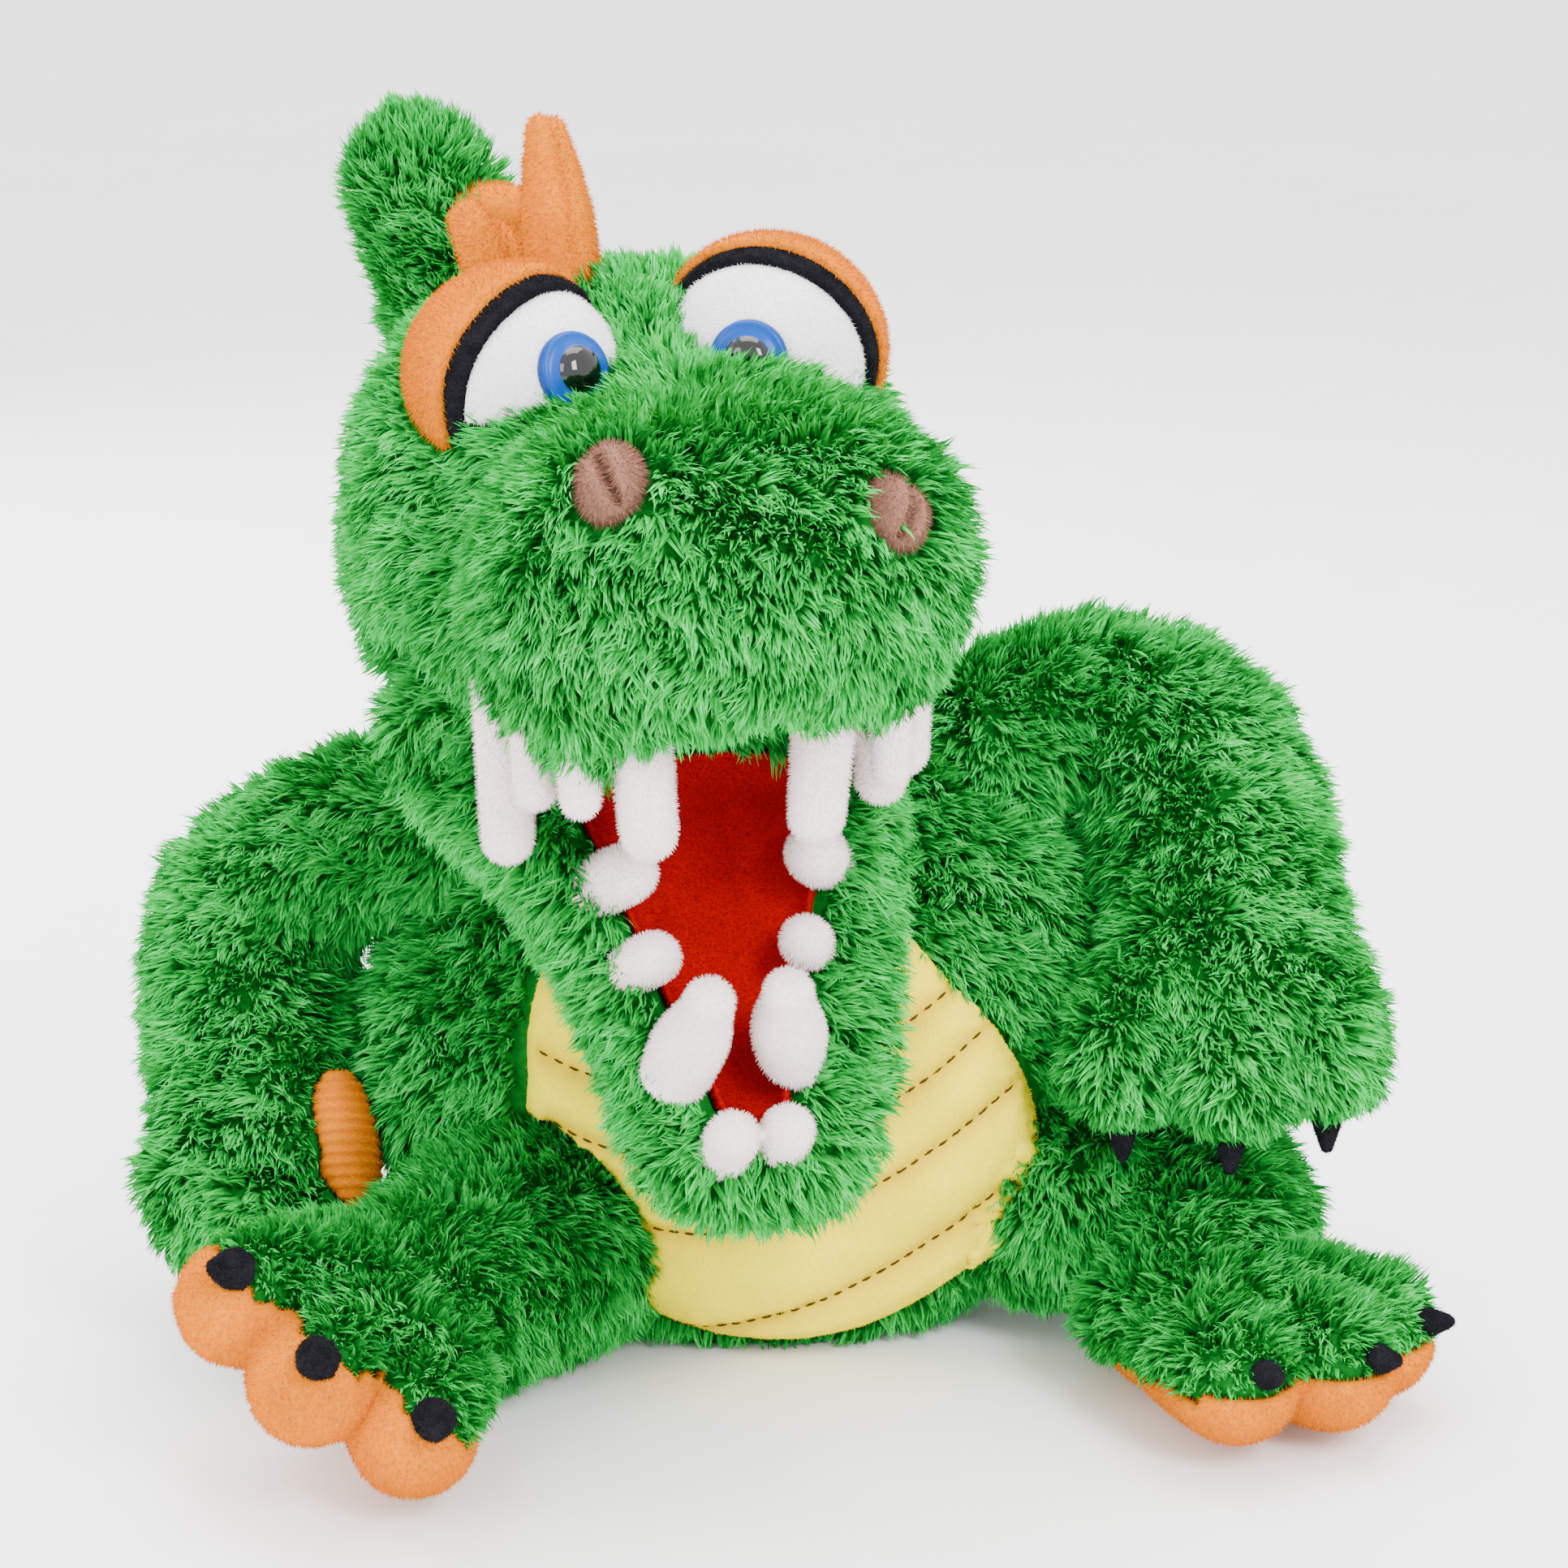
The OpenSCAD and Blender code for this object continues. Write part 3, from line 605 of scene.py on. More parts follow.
soles = {}
for side, leg in legs.items():
    v, n = points(leg), normals(leg)
    lean = distances(cad_tree(f"leg_skin_{side}"), v) - distances(cad_tree(f"sole_pad_{side}"), v)
    under = lean > 0
    faces = [list(p.vertices) for p in leg.data.polygons if all(under[i] for i in p.vertices)]
    used = sorted({i for f in faces for i in f})
    place = {old: new for new, old in enumerate(used)}
    dome = np.sqrt(np.clip(lean[used] / SOLE_RIM, 0, 1))[:, None]
    top = v[used] + n[used] * (dome * SOLE_DOME - SOLE_SINK) * MM
    bottom = v[used] - n[used] * SOLE_BACK * MM
    quads = [[place[i] for i in f] for f in faces]
    seen = dict.fromkeys((a, b) for f in quads for a, b in zip(f, f[1:] + f[:1]))
    k = len(used)
    back = [[i + k for i in reversed(f)] for f in quads]
    rim = [[b, a, a + k, b + k] for a, b in seen if (b, a) not in seen]
    sole = build_faces(f"sole_plush_{side}", np.vstack([top, bottom]), quads + back + rim)
    sub = sole.modifiers.new("sub", "SUBSURF")
    sub.levels = sub.render_levels = 1
    apply_modifiers(sole)
    finish_piece(sole, f"leg_{side}", [f"sole_pad_{side}"], "orange_plush")
    soles[side] = sole
    grow(leg, np.where(under, -LEG_BACK, 0))
    finish_piece(leg, f"leg_{side}", [f"leg_skin_{side}", f"leg_filling_{side}"], "green_plush")

# ---------------------------------------------------------------- short pile pieces

naps = []   # (piece, body, slot, hairs a square centimetre, their length in millimetres)


def soft(name, node, body, slot, hairs=(200, 1.8), voxel=1.5 * MM, smooth=5,
         shape=None, pressure=0):
    """A padded short pile piece. Its hairs are made later, when every piece is in place."""
    ob = remeshed(name, node, voxel)
    relax(ob, smooth)
    if pressure:
        inflate(ob, pressure, 2 * MM, frames=10)
    if shape is not None:
        shape(ob)
        relax(ob, 1)
    finish_piece(ob, body, [node], slot)
    if hairs:
        naps.append((ob, body, slot, *hairs))
    return ob


def swelled(by):
    return lambda ob: grow(ob, by)


def bulged(way, swell, neck):
    """Returns a shaping that swells a tooth's middle and narrows it below the tip."""
    way = unit(np.asarray(way, float))

    def shape(ob):
        v = points(ob)
        d = v @ way
        t = (d - d.min()) / (d.max() - d.min())
        axis = v - way * d[:, None]
        out = unit(axis - axis.mean(0))
        by = swell * np.exp(-((t - 0.42) / 0.2) ** 2) - neck * np.exp(-((t - 0.78) / 0.14) ** 2)
        put(ob, v + out * (by * MM)[:, None])
    return shape


def lengthened(way, by):
    """Returns a shaping that draws a tooth's tip out."""
    def shape(ob):
        v = points(ob)
        d = v @ way
        put(ob, v + way * (by * ease(d, d.min(), d.max()))[:, None])
    return shape


def seam_groove(origin, normal, depth, width):
    """Returns a shaping that sinks a sewn seam where the piece meets a plane."""
    origin, normal = np.asarray(origin), np.asarray(normal) / np.linalg.norm(normal)

    def shape(ob):
        d = (points(ob) - origin) @ normal
        grow(ob, -depth * np.exp(-(d / width) ** 2))
    return shape


def wrapped(side, angle, out):
    """Returns a shaping that draws a lid's lower end further round the eyeball."""
    centre = node_mid(f"eyeball_{side}")

    def shape(ob):
        d = points(ob) - centre
        low = d @ HEAD_Z
        turn = angle * (1 - ease(low, low.min(), low.min() + 30 * MM))[:, None]
        along = (d @ HEAD_Y)[:, None] * HEAD_Y
        put(ob, centre + along + (d - along) * np.cos(turn) + np.cross(-HEAD_Y, d) * np.sin(turn))
        grow(ob, out)
    return shape


for which in ("front", "rear"):
    node = f"crest_spike_{which}"
    soft(f"crest_spike_plush_{which}", node, "head", "orange_plush", pressure=3,
         shape=seam_groove(node_mid(node), HEAD_X, 1.6 * MM, 2.0 * MM))
soft("back_spikes_plush", "back_spikes", "torso", "orange_plush", pressure=3,
     shape=seam_groove(node_mid("back_spikes"), (1, 0, 0), 1.4 * MM, 2 * MM))
soft("tail_spikes_plush", "tail_spikes", "tail", "orange_plush", pressure=3)

LID_TURN = {"left": 0.30, "right": 0.0}
FELT_HAIRS, TOOTH_HAIRS = (250, 0.9), (200, 1.4)
thin_face, round_face = [], []
for side in SIDES:
    naps.append((soles[side], f"leg_{side}", "orange_plush", 160, 1.5))
    thin_face += [
        soft(f"eyelid_plush_{side}", f"eyelid_{side}", "head", "orange_plush", voxel=1.2 * MM,
             smooth=4, shape=wrapped(side, LID_TURN[side], 0.9 * MM)),
        soft(f"lash_felt_{side}", f"lash_{side}", "head", "black_felt", FELT_HAIRS, 0.8 * MM,
             smooth=3, shape=wrapped(side, LID_TURN[side], 0.3 * MM))]
    round_face.append(soft(f"eyeball_plush_{side}", f"eyeball_{side}", "head", "eyeball_plush",
                           (220, 1.2), 1.6 * MM, smooth=6))
    for claws, body, swell in (("hand_claws", f"arm_{side}", 0.6), ("foot_claws", f"leg_{side}", 0.8)):
        soft(f"{claws}_felt_{side}", f"{claws}_{side}", body, "black_felt", FELT_HAIRS, 1 * MM,
             smooth=3, shape=swelled(swell * MM))
    teeth = {   # by name: the body, and what the CAD shape lacks
        "upper_fang": ("head", None),
        "upper_corner_fang": ("head", lengthened(-HEAD_Z, 6 * MM) if side == "left" else None),
        "upper_small_teeth": ("head", None),
        "lower_fang": ("jaw", bulged(JAW_Z + 0.5 * JAW_Y, 1.3, 0.9)),
        "lower_small_teeth": ("jaw", None),
    }
    for tooth, (body, shape) in teeth.items():
        soft(f"{tooth}_plush_{side}", f"{tooth}_{side}", body, "tooth_plush", TOOTH_HAIRS, 1.3 * MM,
             pressure=2, shape=shape)
soft("lower_incisors_plush", "lower_incisors", "jaw", "tooth_plush", TOOTH_HAIRS, 1.3 * MM, pressure=2)
upper_lining = soft("palate_plush", "upper_mouth_lining", "head", "red_plush", (120, 1.2), 1.4 * MM,
                    smooth=3)
lower_lining = soft("mouth_plush", "lower_mouth_lining", "jaw", "red_plush", (160, 1.2), 1.4 * MM,
                    smooth=3)

# ---------------------------------------------------------------- quilted belly

DROP = 32 * MM     # the panel's right half hangs lower, because the toy slumps to that side
HOLLOW = 14 * MM   # the torso falls away faster than this only at the hip, which the panel bridges
SEAMS = (   # left end, middle and right end of each seam, as x and z in millimetres
    ((-74, 120), (-10, 114), (55, 145)),
    ((-72, 98), (-6, 95), (62, 128)),
    ((-68, 78), (-6, 74), (63, 109)),
    ((-64, 59), (-10, 49), (68, 88)),
    ((-34, 13), (0, 19), (66, 55)),
)
SPOKES = 90                        # directions in which the panel's edge is found
PUFF, PUFF_WIDTH = 6.2, 6.0 * MM   # how far, in millimetres, and how soon the cloth rises at a seam
SINK = 1.3                         # millimetres that a seam lies below the CAD panel
PUCKER, PUCKER_WIDTH = 0.5, 7 * MM
FLAT_AT_SEAM = 1.5 * MM            # no puckers closer than this
SLACK = 0.35
SEAM_SHADE, SEAM_SHADE_WIDTH = 0.8, 2.6 * MM   # painted shade along a seam: how strong, and how far it reaches
STITCH, STITCH_GAP = 3.0 * MM, 1.7 * MM
STITCH_RINGS, STITCH_SIDES = 4, 6
THREAD_END, THREAD_SWELL, THREAD_RISE = 0.22, 0.2, 0.25   # millimetres
PANEL_SIDE = -0.052                # metres: stitches further back would be round the panel's side


def seam_line(ends, count=90):
    """A curve through three places, as x and z in metres."""
    a, m, b = (np.array(e, float) for e in ends)
    s = np.linspace(0, 1, count)[:, None]
    bend = 2 * m - (a + b) / 2
    return ((1 - s) ** 2 * a + 2 * s * (1 - s) * bend + s * s * b) * MM


seam_lines = [seam_line(s) for s in SEAMS]
belly = remeshed("belly_panel_plush", "belly_panel", 1.4 * MM)
relax(belly, 12)

# the panel slides down over the torso
v = points(belly)
low = v[:, 2] - DROP * ease(v[:, 0], -10 * MM, 60 * MM) * ease(v[:, 2], 20 * MM, 85 * MM)
torso_tree = tree_of(torso)
shift = np.full(len(v), np.nan)
for i, z in enumerate(low):
    was, now = from_front(torso_tree, v[i, 0], v[i, 2]), from_front(torso_tree, v[i, 0], z)
    if was is not None and now is not None and now[1] - was[1] < HOLLOW:
        shift[i] = now[1] - was[1]
on_torso = np.nonzero(~np.isnan(shift))[0]
for i in np.nonzero(np.isnan(shift))[0]:
    gap = ((v[on_torso][:, [0, 2]] - v[i, [0, 2]]) ** 2).sum(1)
    shift[i] = shift[on_torso[gap.argmin()]]
v[:, 1] += shift
v[:, 2] = low
put(belly, v)
relax(belly, 6)

# it puffs up between its seams
v, n = points(belly), normals(belly)
flat = v[:, [0, 2]]
spoke = flat - (flat.min(0) + flat.max(0)) / 2
angle = np.arctan2(spoke[:, 1], spoke[:, 0])
far = np.linalg.norm(spoke, axis=1)
bins = ((angle + math.pi) / (2 * math.pi) * SPOKES).astype(int) % SPOKES
edge = np.zeros(SPOKES)
np.maximum.at(edge, bins, far)
to_edge = np.maximum(edge[bins] - far, 0)
to_seam = np.full(len(v), FAR)
for q in np.vstack(seam_lines):
    to_seam = np.minimum(to_seam, np.linalg.norm(flat - q, axis=1))
front = np.clip(-n[:, 1] * 2.5, 0, 1)
puff = 1 - np.exp(-(np.minimum(to_seam, to_edge * 0.8) / PUFF_WIDTH) ** 1.1)
pucker = wave(v * np.array([1, 1, 0.35]), 0.021, 31) * np.exp(-to_seam / PUCKER_WIDTH) * PUCKER
slack = wave(v * np.array([0.5, 1, 1.6]), 0.05, 32) * SLACK
grow(belly, front * (puff * (PUFF + slack) + pucker * np.clip(to_seam / FLAT_AT_SEAM, 0, 1) - SINK) * MM)
relax(belly, 1)
# painted shade: the cloth is coloured darker towards each seam, down in the grooves between the puffs
shade_mask = belly.data.attributes.new("painted_seam_shade", "FLOAT", "POINT")
shade_mask.data.foreach_set("value", (SEAM_SHADE * np.exp(-to_seam / SEAM_SHADE_WIDTH)).astype(np.float32))
finish_piece(belly, "torso", ["belly_panel"], "yellow_minky")
naps.append((belly, "torso", "yellow_minky", 70, 0.7))

belly_tree = tree_of(belly)
sv, sf = [], []
for line in seam_lines:
    along = np.concatenate([[0], np.cumsum(np.linalg.norm(np.diff(line, axis=0), axis=1))])
    for s in np.arange(0, along[-1] - STITCH, STITCH + STITCH_GAP):
        us = np.linspace(s, s + STITCH * rng.uniform(0.85, 1.1), STITCH_RINGS)
        spots = [from_front(belly_tree, np.interp(u, along, line[:, 0]), np.interp(u, along, line[:, 1]))
                 for u in us]
        spots = np.array([at for at in spots if at is not None])
        if len(spots) < STITCH_RINGS or spots[0][1] > PANEL_SIDE:
            continue
        ahead = unit(spots[-1] - spots[0])
        rise = unit(np.cross(np.cross(ahead, (0, -1, 0)), ahead))
        across = np.cross(ahead, rise)
        sf += tube(STITCH_RINGS, STITCH_SIDES, len(sv))
        for k, at in enumerate(spots):
            bow = math.sin(math.pi * k / (STITCH_RINGS - 1))
            r = (THREAD_END + THREAD_SWELL * bow) * MM
            for a in range(STITCH_SIDES):
                turn = 2 * math.pi * a / STITCH_SIDES
                out = math.cos(turn) * across + math.sin(turn) * rise
                sv.append(at + rise * (THREAD_RISE * bow * MM) + r * out)
stitches = build_faces("belly_stitching", np.array(sv), sf)
dress(stitches, THREAD)
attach(stitches, "torso")

# ---------------------------------------------------------------- nostrils

NOSTRILS = {   # place and outward direction in the head's frame, and how far the slit leans
    "left": ((-38, -126, 27), (-0.35, -0.8, 0.5), 0.42),
    "right": ((35, -130, 14), (0.45, -0.82, 0.42), -0.5),
}
NOSTRIL_LIP, NOSTRIL_CUT = 1.8, 5.5       # millimetres: height of the lips, depth of the slit
NOSTRIL_NARROW, NOSTRIL_SHORT = 0.14, 0.22   # shares by which the insert is drawn in


def slitted(place, way, slit):
    """Returns a shaping that folds an insert into two lips along a slit."""
    across = np.cross(way, slit)

    def shape(ob):
        d = points(ob) - place
        off = d @ across
        lip = np.exp(-((np.abs(off) - 4.5 * MM) / (3.2 * MM)) ** 2)
        cut = np.exp(-(off / (1.7 * MM)) ** 2) * (1 - ease(np.abs(d @ slit), 8 * MM, 12 * MM))
        up = np.clip(normals(ob) @ way, 0, 1) * (NOSTRIL_LIP * lip - NOSTRIL_CUT * cut) * MM
        drawn_in = ((off * -NOSTRIL_NARROW)[:, None] * across
                    + ((d @ slit) * -NOSTRIL_SHORT)[:, None] * slit)
        put(ob, points(ob) + way * up[:, None] + drawn_in)
    return shape


for side, (place, way, lean) in NOSTRILS.items():
    way = head_way(*way)
    slit = unit(lean * HEAD_X - HEAD_Z)
    slit = unit(slit - (slit @ way) * way)
    round_face.append(soft(f"nostril_plush_{side}", f"nostril_{side}", "head", "nostril_plush",
                           (230, 2.2), 1.0 * MM, shape=slitted(head_point(*place), way, slit)))

# ---------------------------------------------------------------- safety eyes

EYES = {   # middle of the eyeball and the way the eye looks, in the head's frame
    "left": ((-36, -29, 38), (0.3, -0.91, 0.26)),
    "right": ((36, -29, 42), (-0.48, -0.87, 0.1)),
}
SEAT = 2.6   # millimetres the eye sinks into the eyeball
EYE_PLASTICS = [IRIS, IRIS_RIM, PUPIL, WASHER]
PROFILE = (   # radius and height over the seat in millimetres, and which plastic leads up to it
    (0, -12.4, 3), (3, -12.4, 3), (3, -1, 3), (9.5, -0.6, 1), (10.8, 0.0, 1),
    (11, 0.8, 1), (11, 2.0, 1), (10.6, 2.9, 1), (9.9, 3.4, 0), (9.4, 3.35, 0),
    (8.2, 3.9, 0), (7.2, 4.45, 0), (6.6, 4.75, 0), (6.35, 5.3, 2), (5.9, 6.0, 2),
    (5.0, 6.75, 2), (3.8, 7.3, 2), (2.4, 7.65, 2), (1.2, 7.8, 2), (0, 7.85, 2),
)
TURNS = 64
for side, (centre, way) in EYES.items():
    centre, way = head_point(*centre), head_way(*way)
    ball, _ = arrays(frame["nodes"][f"eyeball_{side}"].data)
    base = centre + way * (np.linalg.norm(ball - centre, axis=1).max() - SEAT * MM)
    a = unit(np.cross(way, (0, 0, 1)))
    b = np.cross(way, a)
    ev = []
    for r, h, _ in PROFILE:
        for k in range(TURNS):
            turn = 2 * math.pi * k / TURNS
            out = a * math.cos(turn) + b * math.sin(turn)
            ev.append(base + way * (h * MM) + out * (max(r, 0.01) * MM))
    which = [p for _, _, p in PROFILE[1:] for _ in range(TURNS)]
    eye = build_faces(f"eye_{side}", np.array(ev), tube(len(PROFILE), TURNS), which + [3, 2], EYE_PLASTICS)
    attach(eye, "head")
    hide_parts(f"safety_eye_{side}")

# ---------------------------------------------------------------- palms, neck and inner pieces

RIB_WAY = unit(np.array((0.1, -0.5, -1.0)))
RIB_PITCH = 3.2 * MM


def ribbed(ob):
    along = points(ob) @ RIB_WAY
    grow(ob, (0.9 + 0.45 * np.sin(along * 2 * math.pi / RIB_PITCH)) * MM)


palms = {}
for side in SIDES:
    palms[side] = soft(f"palm_plush_{side}", f"palm_pad_{side}", f"arm_{side}", "orange_plush",
                       (120, 1.0), 0.9 * MM, smooth=3, shape=ribbed)
neck = soft("neck_plush", "neck_stuffing", "neck", "green_plush", None, 4 * MM)

INSIDE = {"seat_pellet_bag": PELLETS, "palate_board": SHEET, "jaw_board": SHEET,
          "eye_washer_left": WASHER, "eye_washer_right": WASHER}
for node, material in INSIDE.items():
    dress(frame["nodes"][node], material)

# ---------------------------------------------------------------- pile

FACE_LIMIT = 190000       # triangles in one object
FLOOR_CLEAR = 0.3 * MM
LOCKS = 24                # a square centimetre
STRANDS = 4               # a lock
STRAND_SHAPE = ((0.0, 1.0), (0.42, 0.95), (0.74, 0.62), (1.0, 0.0))   # place along it, share of its width
STRAND_WIDTH = 1.1 * MM
LAY = 0.58                # how far a lock leans: 0 upright, 1 flat
LOCK_RADIUS = 1.7 * MM
ROOT_DEPTH = 0.8 * MM     # roots start this far under the cover
TIP_SPREAD = 0.55 * MM
COMB = np.array((0.2, -0.1, -1.0))   # the way that short hairs are brushed
HAIR_HALF = 0.16 * MM     # half of a hair's width
HAIR_ROOT = 0.3           # millimetres that a hair starts under the surface
UNDER = 3.4 * MM          # sewn-on pieces hide the cover this far around them
COVERED = -3 * MM         # a lock rooted deeper than this in a neighbour is never seen


def scatter(ob, per_cm2):
    """Places and normals spread evenly over a piece."""
    v, t = arrays(ob.data)
    a, b, c = v[t[:, 0]], v[t[:, 1]], v[t[:, 2]]
    area = np.linalg.norm(np.cross(b - a, c - a), axis=1) / 2
    count = int(area.sum() * 1e4 * per_cm2)
    pick = np.searchsorted(np.cumsum(area) / area.sum(), (np.arange(count) + rng.random(count)) / count)
    pick = np.minimum(pick, len(t) - 1)
    r1, r2 = np.sqrt(rng.random(count)), rng.random(count)
    w = np.stack([1 - r1, r1 * (1 - r2), r1 * r2], 1)[:, :, None]
    vn = normals(ob)
    return (v[t[pick]] * w).sum(1), unit((vn[t[pick]] * w).sum(1))


def within(q, tree):
    """Whether a place is inside a closed piece, by how often a line from it leaves the piece."""
    way, hits = Vector((0.31, 0.23, 0.92)).normalized(), 0
    at = Vector(q)
    while hits < 12:
        at, _, _, _ = tree.ray_cast(at, way)
        if at is None:
            break
        hits += 1
        at = at + way * 1e-5
    return hits % 2 == 1


def depth_from(p, tree, reach=0.07, thin=False):
    """How far points are from a piece, negative inside it unless the piece is thin."""
    out = np.full(len(p), reach)
    for i, q in enumerate(p):
        at, n, _, d = tree.find_nearest(q, reach)
        if at is None:
            continue
        under = not thin and (Vector(q) - at).dot(n) < 0 and within(q, tree)
        out[i] = -d if under else d
    return out


def turned(way, axis, angle):
    """Turns tangent vectors about the normals by an angle each."""
    angle = np.reshape(angle, (-1, 1))
    return way * np.cos(angle) + np.cross(axis, way) * np.sin(angle)


def pile(name, ob, body, flow, length=10.8 * MM, blockers=(), trimmed=()):
    """Shaggy long pile: locks of curved, tapering strands rooted on a cover. A blocker is a
    tree, the distance from it that stays bare, and whether it is thin. A trimming is a tree,
    how far it shortens the pile, and the share of the length left beside it."""
    p, n = scatter(ob, LOCKS)
    keep = np.ones(len(p), bool)
    for tree, margin, thin in blockers:
        idx = np.nonzero(keep)[0]
        keep[idx] = depth_from(p[idx], tree, thin=thin) > margin
    p, n = p[keep], n[keep]
    m = len(p)
    way = flow(p, n)
    way = unit(way - (way * n).sum(1, keepdims=True) * n + 1e-6)
    way = turned(way, n, 0.55 * wave(p, 0.05, 3) + 0.45 * wave(p, 0.017, 5) + rng.normal(0, 0.38, m))
    reach = length * (0.86 + 0.16 * wave(p, 0.04, 7) + rng.uniform(-0.16, 0.16, m))
    for tree, span, share in trimmed:
        reach = reach * (share + (1 - share) * ease(depth_from(p, tree, span, True), 0, span))
    lean = np.clip(LAY + 0.16 * wave(p, 0.03, 9) + rng.normal(0, 0.10, m), 0.25, 0.93)
    up = np.sqrt(1 - lean ** 2)
    tip = p + (way * lean[:, None] + n * up[:, None]) * reach[:, None]

    # each lock splits into strands that spread at the root and draw together at the tip
    side = np.cross(n, way)
    k = m * STRANDS
    who = np.repeat(np.arange(m), STRANDS)
    around = rng.uniform(0, 2 * math.pi, k)
    out = np.sqrt(rng.random(k)) * LOCK_RADIUS
    off = way[who] * (np.cos(around) * out)[:, None] + side[who] * (np.sin(around) * out)[:, None]
    root = p[who] + off - n[who] * ROOT_DEPTH
    end = tip[who] + off * 0.42 + rng.normal(0, TIP_SPREAD, (k, 3))
    end -= way[who] * (rng.uniform(0, 0.22, k) * reach[who])[:, None]
    bend = root + n[who] * (0.62 * reach[who])[:, None] * (1 - 0.35 * lean[who])[:, None] + off * 0.3
    face = unit(turned(side[who], n[who], rng.normal(0, 0.6, k)) + n[who] * rng.normal(0, 0.3, k)[:, None])
    wide = STRAND_WIDTH * rng.uniform(0.75, 1.2, k)[:, None] / 2
    rows = []
    for s, share in STRAND_SHAPE:
        c = (1 - s) ** 2 * root + 2 * s * (1 - s) * bend + s * s * end
        rows += [c - face * wide * share, c + face * wide * share] if share else [c]
    verts = np.stack(rows, 1)
    verts[:, :, 2] = np.maximum(verts[:, :, 2], FLOOR_CLEAR + rng.uniform(0, 1.5 * MM, (k, 1)))

    # each strand is one of three greens at its root, its middle and its tip: darker roots as painted
    # shade, lighter tips as painted light, over a random tone per lock and strand
    tone = rng.normal(0, 0.45, m)[who] + rng.normal(0, 0.35, k) + 0.55 * wave(p, 0.03, 11)[who]
    low = np.clip(np.round(0.8 + 0.5 * tone), 0, 2)
    mid = np.clip(np.round(2.0 + tone), 1, 3)
    top = np.clip(np.round(2.9 + tone), 2, 4)
    index = np.stack([low, mid, top], 1).astype(np.int32)

    chunk = FACE_LIMIT // 5   # two quads and a triangle a strand
    for part, start in enumerate(range(0, k, chunk)):
        vs = verts[start:start + chunk]
        base = (np.arange(len(vs)) * 7)[:, None]
        loops = np.concatenate([base + [0, 1, 3, 2], base + [2, 3, 5, 4], base + [4, 5, 6]], 1).ravel()
        fur = build(f"{name}_{part}", vs.reshape(-1, 3), loops, np.tile([4, 4, 3], len(vs)),
                    index[start:start + chunk].ravel(), GREENS)
        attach(fur, body)


def nap(ob, body, slot, dense, length):
    """Short pile: fine hairs, one triangle each, that stand on a piece."""
    tones, length = CLOTHS[slot][1], length * MM
    p, n = scatter(ob, dense)
    m = len(p)
    way = unit(rng.normal(size=(m, 3)))
    way = way - (way * n).sum(1, keepdims=True) * n
    comb = COMB - (n @ COMB)[:, None] * n
    tip = p + n * (length * rng.uniform(0.5, 1.0, m))[:, None] + (way * 0.35 + comb * 0.45) * length
    side = unit(np.cross(n, way)) * HAIR_HALF
    verts = np.stack([p - side - n * HAIR_ROOT * MM, p + side - n * HAIR_ROOT * MM, tip], 1)
    for part, start in enumerate(range(0, m, FACE_LIMIT)):
        vs = verts[start:start + FACE_LIMIT]
        fuzz = build(f"{ob.name}_nap_{part}", vs.reshape(-1, 3), np.arange(len(vs) * 3),
                     np.full(len(vs), 3), rng.integers(0, len(tones), len(vs)), tones)
        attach(fuzz, body)


def flow_to(way, away_from=None, push=0.6):
    """A brushing direction, opened out from a centre."""
    way = np.asarray(way, float)

    def flow(p, _):
        f = np.tile(way, (len(p), 1))
        if away_from is not None:
            f = f + push * unit(p - np.asarray(away_from))
        return f
    return flow


def head_flow(p, _):
    y = in_head(p)[1]
    f = np.tile(-HEAD_Z * 0.8, (len(p), 1))
    spread = unit(p - head_point(0, -70, 40))
    muzzle = ease(-y, 70, 110)[:, None]
    return f + 0.9 * spread + muzzle * (-HEAD_Z * 0.5 - HEAD_Y * 0.3)


def jaw_flow(p, _):
    x = (p - HINGE) / MM @ HEAD_X
    out = np.sign(x)[:, None] * HEAD_X * ease(np.abs(x), 2, 25)[:, None]
    return -0.7 * JAW_Y - 0.9 * JAW_Z + 0.7 * out


def sewn(*obs, margin=UNDER):
    return [(tree_of(o), margin, True) for o in obs]


def set_in(*obs):
    return [(tree_of(o), 1.0 * MM, False) for o in obs]


def covered_by(*obs):
    return [(tree_of(o), COVERED, False) for o in obs]


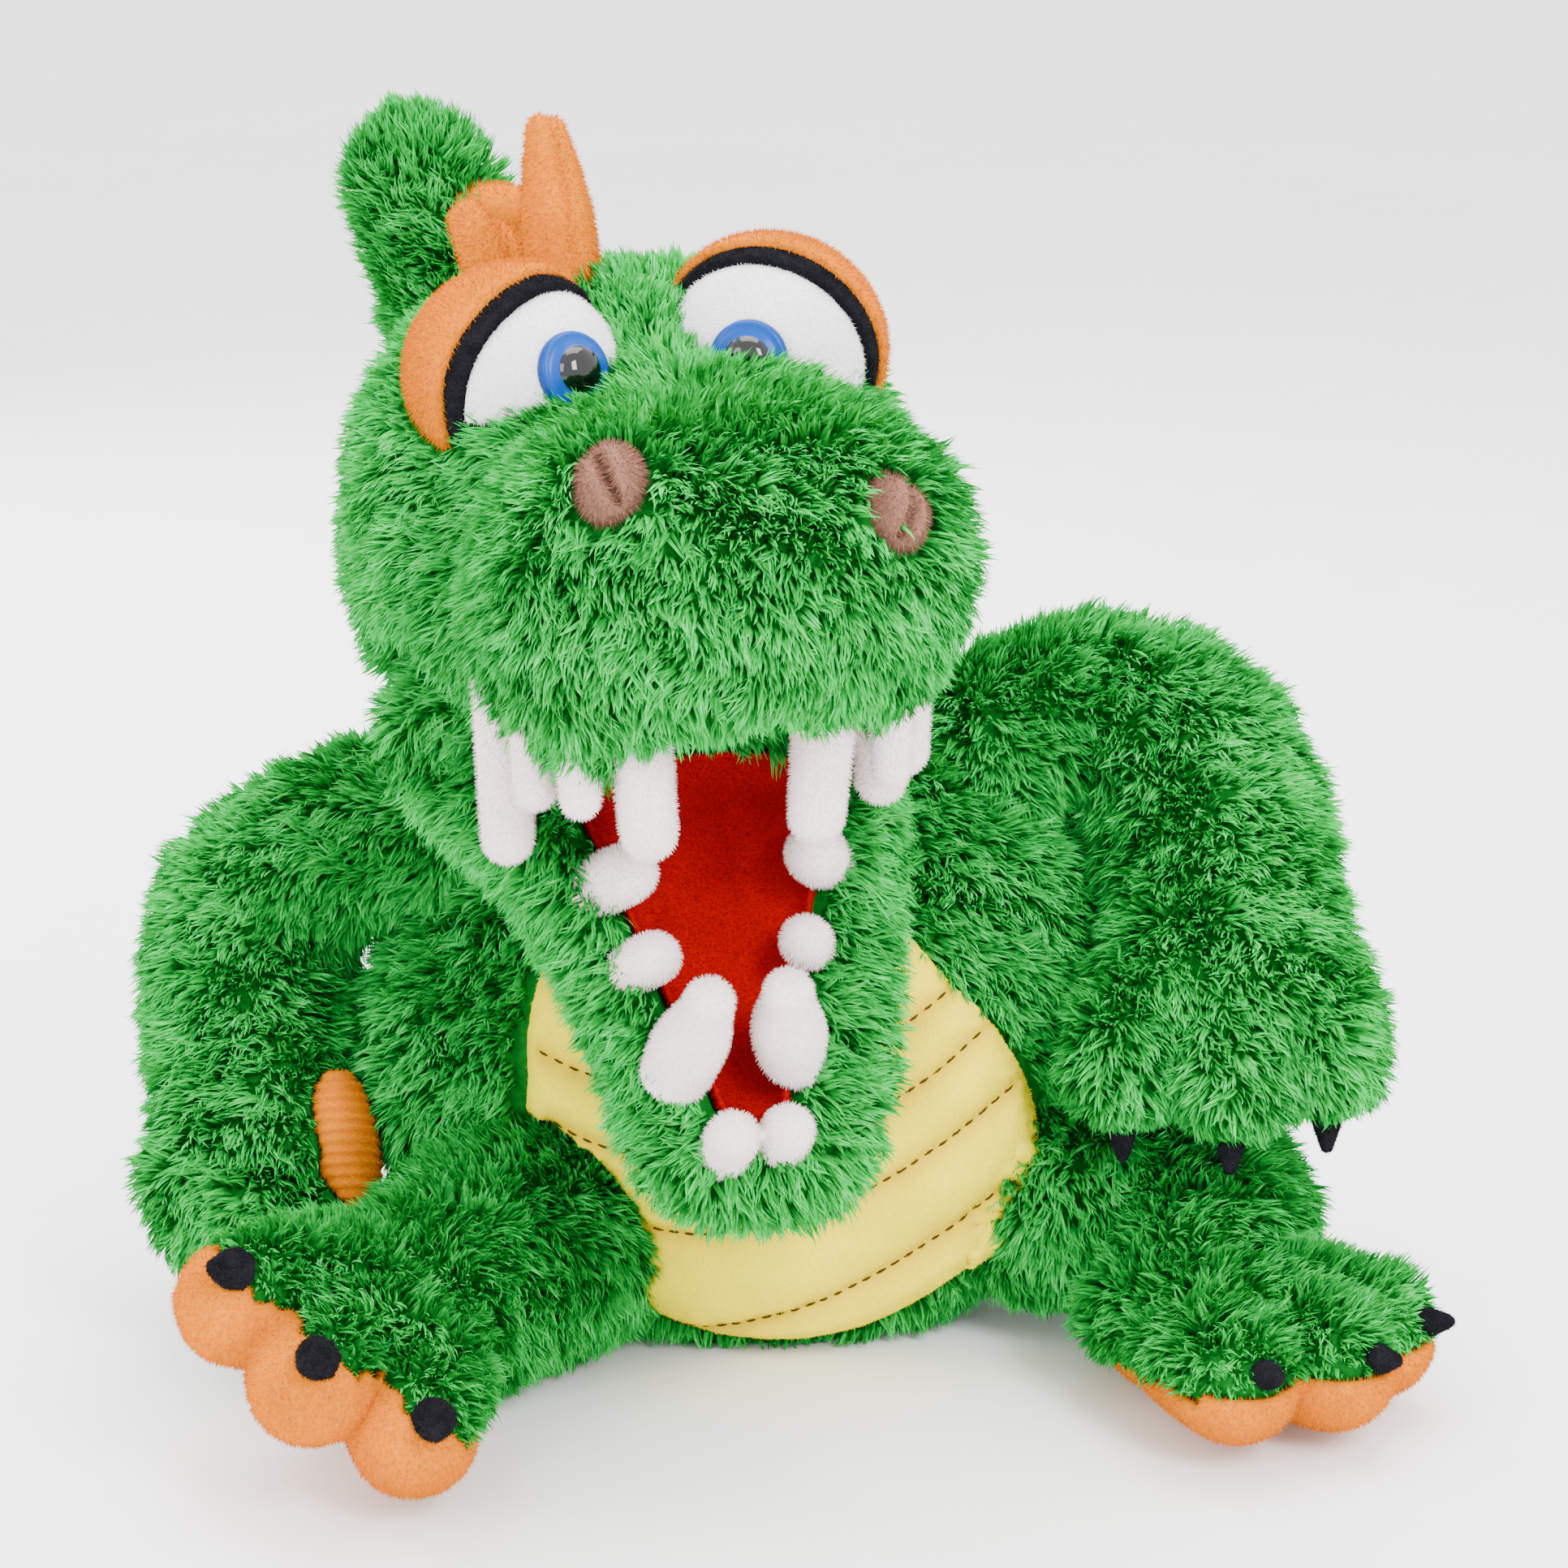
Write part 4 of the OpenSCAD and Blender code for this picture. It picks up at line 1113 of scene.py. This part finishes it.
pieces = bpy.data.objects
pile("head_fur", head, "head", head_flow,
     blockers=(sewn(*thin_face, margin=1.2 * MM) + sewn(upper_lining) + set_in(*round_face)
               + covered_by(jaw)),
     trimmed=[(tree_of(pieces["eyelid_plush_left"]), 14 * MM, 0.5),
              (tree_of(pieces["eyelid_plush_right"]), 12 * MM, 0.6)])
pile("jaw_fur", jaw, "jaw", jaw_flow, blockers=sewn(lower_lining) + covered_by(head), length=12 * MM)
pile("torso_fur", torso, "torso", flow_to((0, 0.1, -1), (-0.02, 0.1, 0.16)),
     blockers=sewn(belly) + covered_by(head, tail, *arms.values(), *legs.values()),
     trimmed=[(tree_of(belly), 12 * MM, 0.7)])
for side in SIDES:
    arm_root = np.array(joints[f"shoulder_{side}"]["pos_m"])
    leg_root = np.array(joints[f"hip_{side}"]["pos_m"])
    hand_claws, foot_claws = pieces[f"hand_claws_felt_{side}"], pieces[f"foot_claws_felt_{side}"]
    pile(f"arm_fur_{side}", arms[side], f"arm_{side}", flow_to((0, 0, -0.7), arm_root, 0.9),
         blockers=sewn(palms[side], margin=2.5 * MM) + covered_by(torso),
         trimmed=[(tree_of(hand_claws), 16 * MM, 0.45), (tree_of(palms[side]), 10 * MM, 0.6)])
    pile(f"leg_fur_{side}", legs[side], f"leg_{side}", flow_to((0, 0, -0.35), leg_root, 1.0),
         blockers=sewn(soles[side], margin=2.6 * MM) + covered_by(torso), length=11 * MM,
         trimmed=[(tree_of(soles[side]), 14 * MM, 0.5), (tree_of(foot_claws), 14 * MM, 0.5)])
pile("neck_fur", neck, "neck", flow_to((0, 0, -1)), blockers=covered_by(torso, head), length=10 * MM)
pile("tail_fur", tail, "tail", flow_to((0, 0, 0.3), joints["tail_base"]["pos_m"], 1.0),
     blockers=covered_by(torso))
for item in naps:
    nap(*item)

# ---------------------------------------------------------------- floor

FLOOR_HALF = 12.0   # metres
FLOOR_LINES = 9
lines = np.linspace(-FLOOR_HALF, FLOOR_HALF, FLOOR_LINES)
corners = [(x, y, 0) for x in lines for y in lines]
cells = [[k, k + FLOOR_LINES, k + FLOOR_LINES + 1, k + 1]
         for i in range(FLOOR_LINES - 1) for k in range(i * FLOOR_LINES, (i + 1) * FLOOR_LINES - 1)]
floor = build_faces("floor", np.array(corners), cells)
floor.data.materials.append(FLOOR)

bpy.context.view_layer.update()
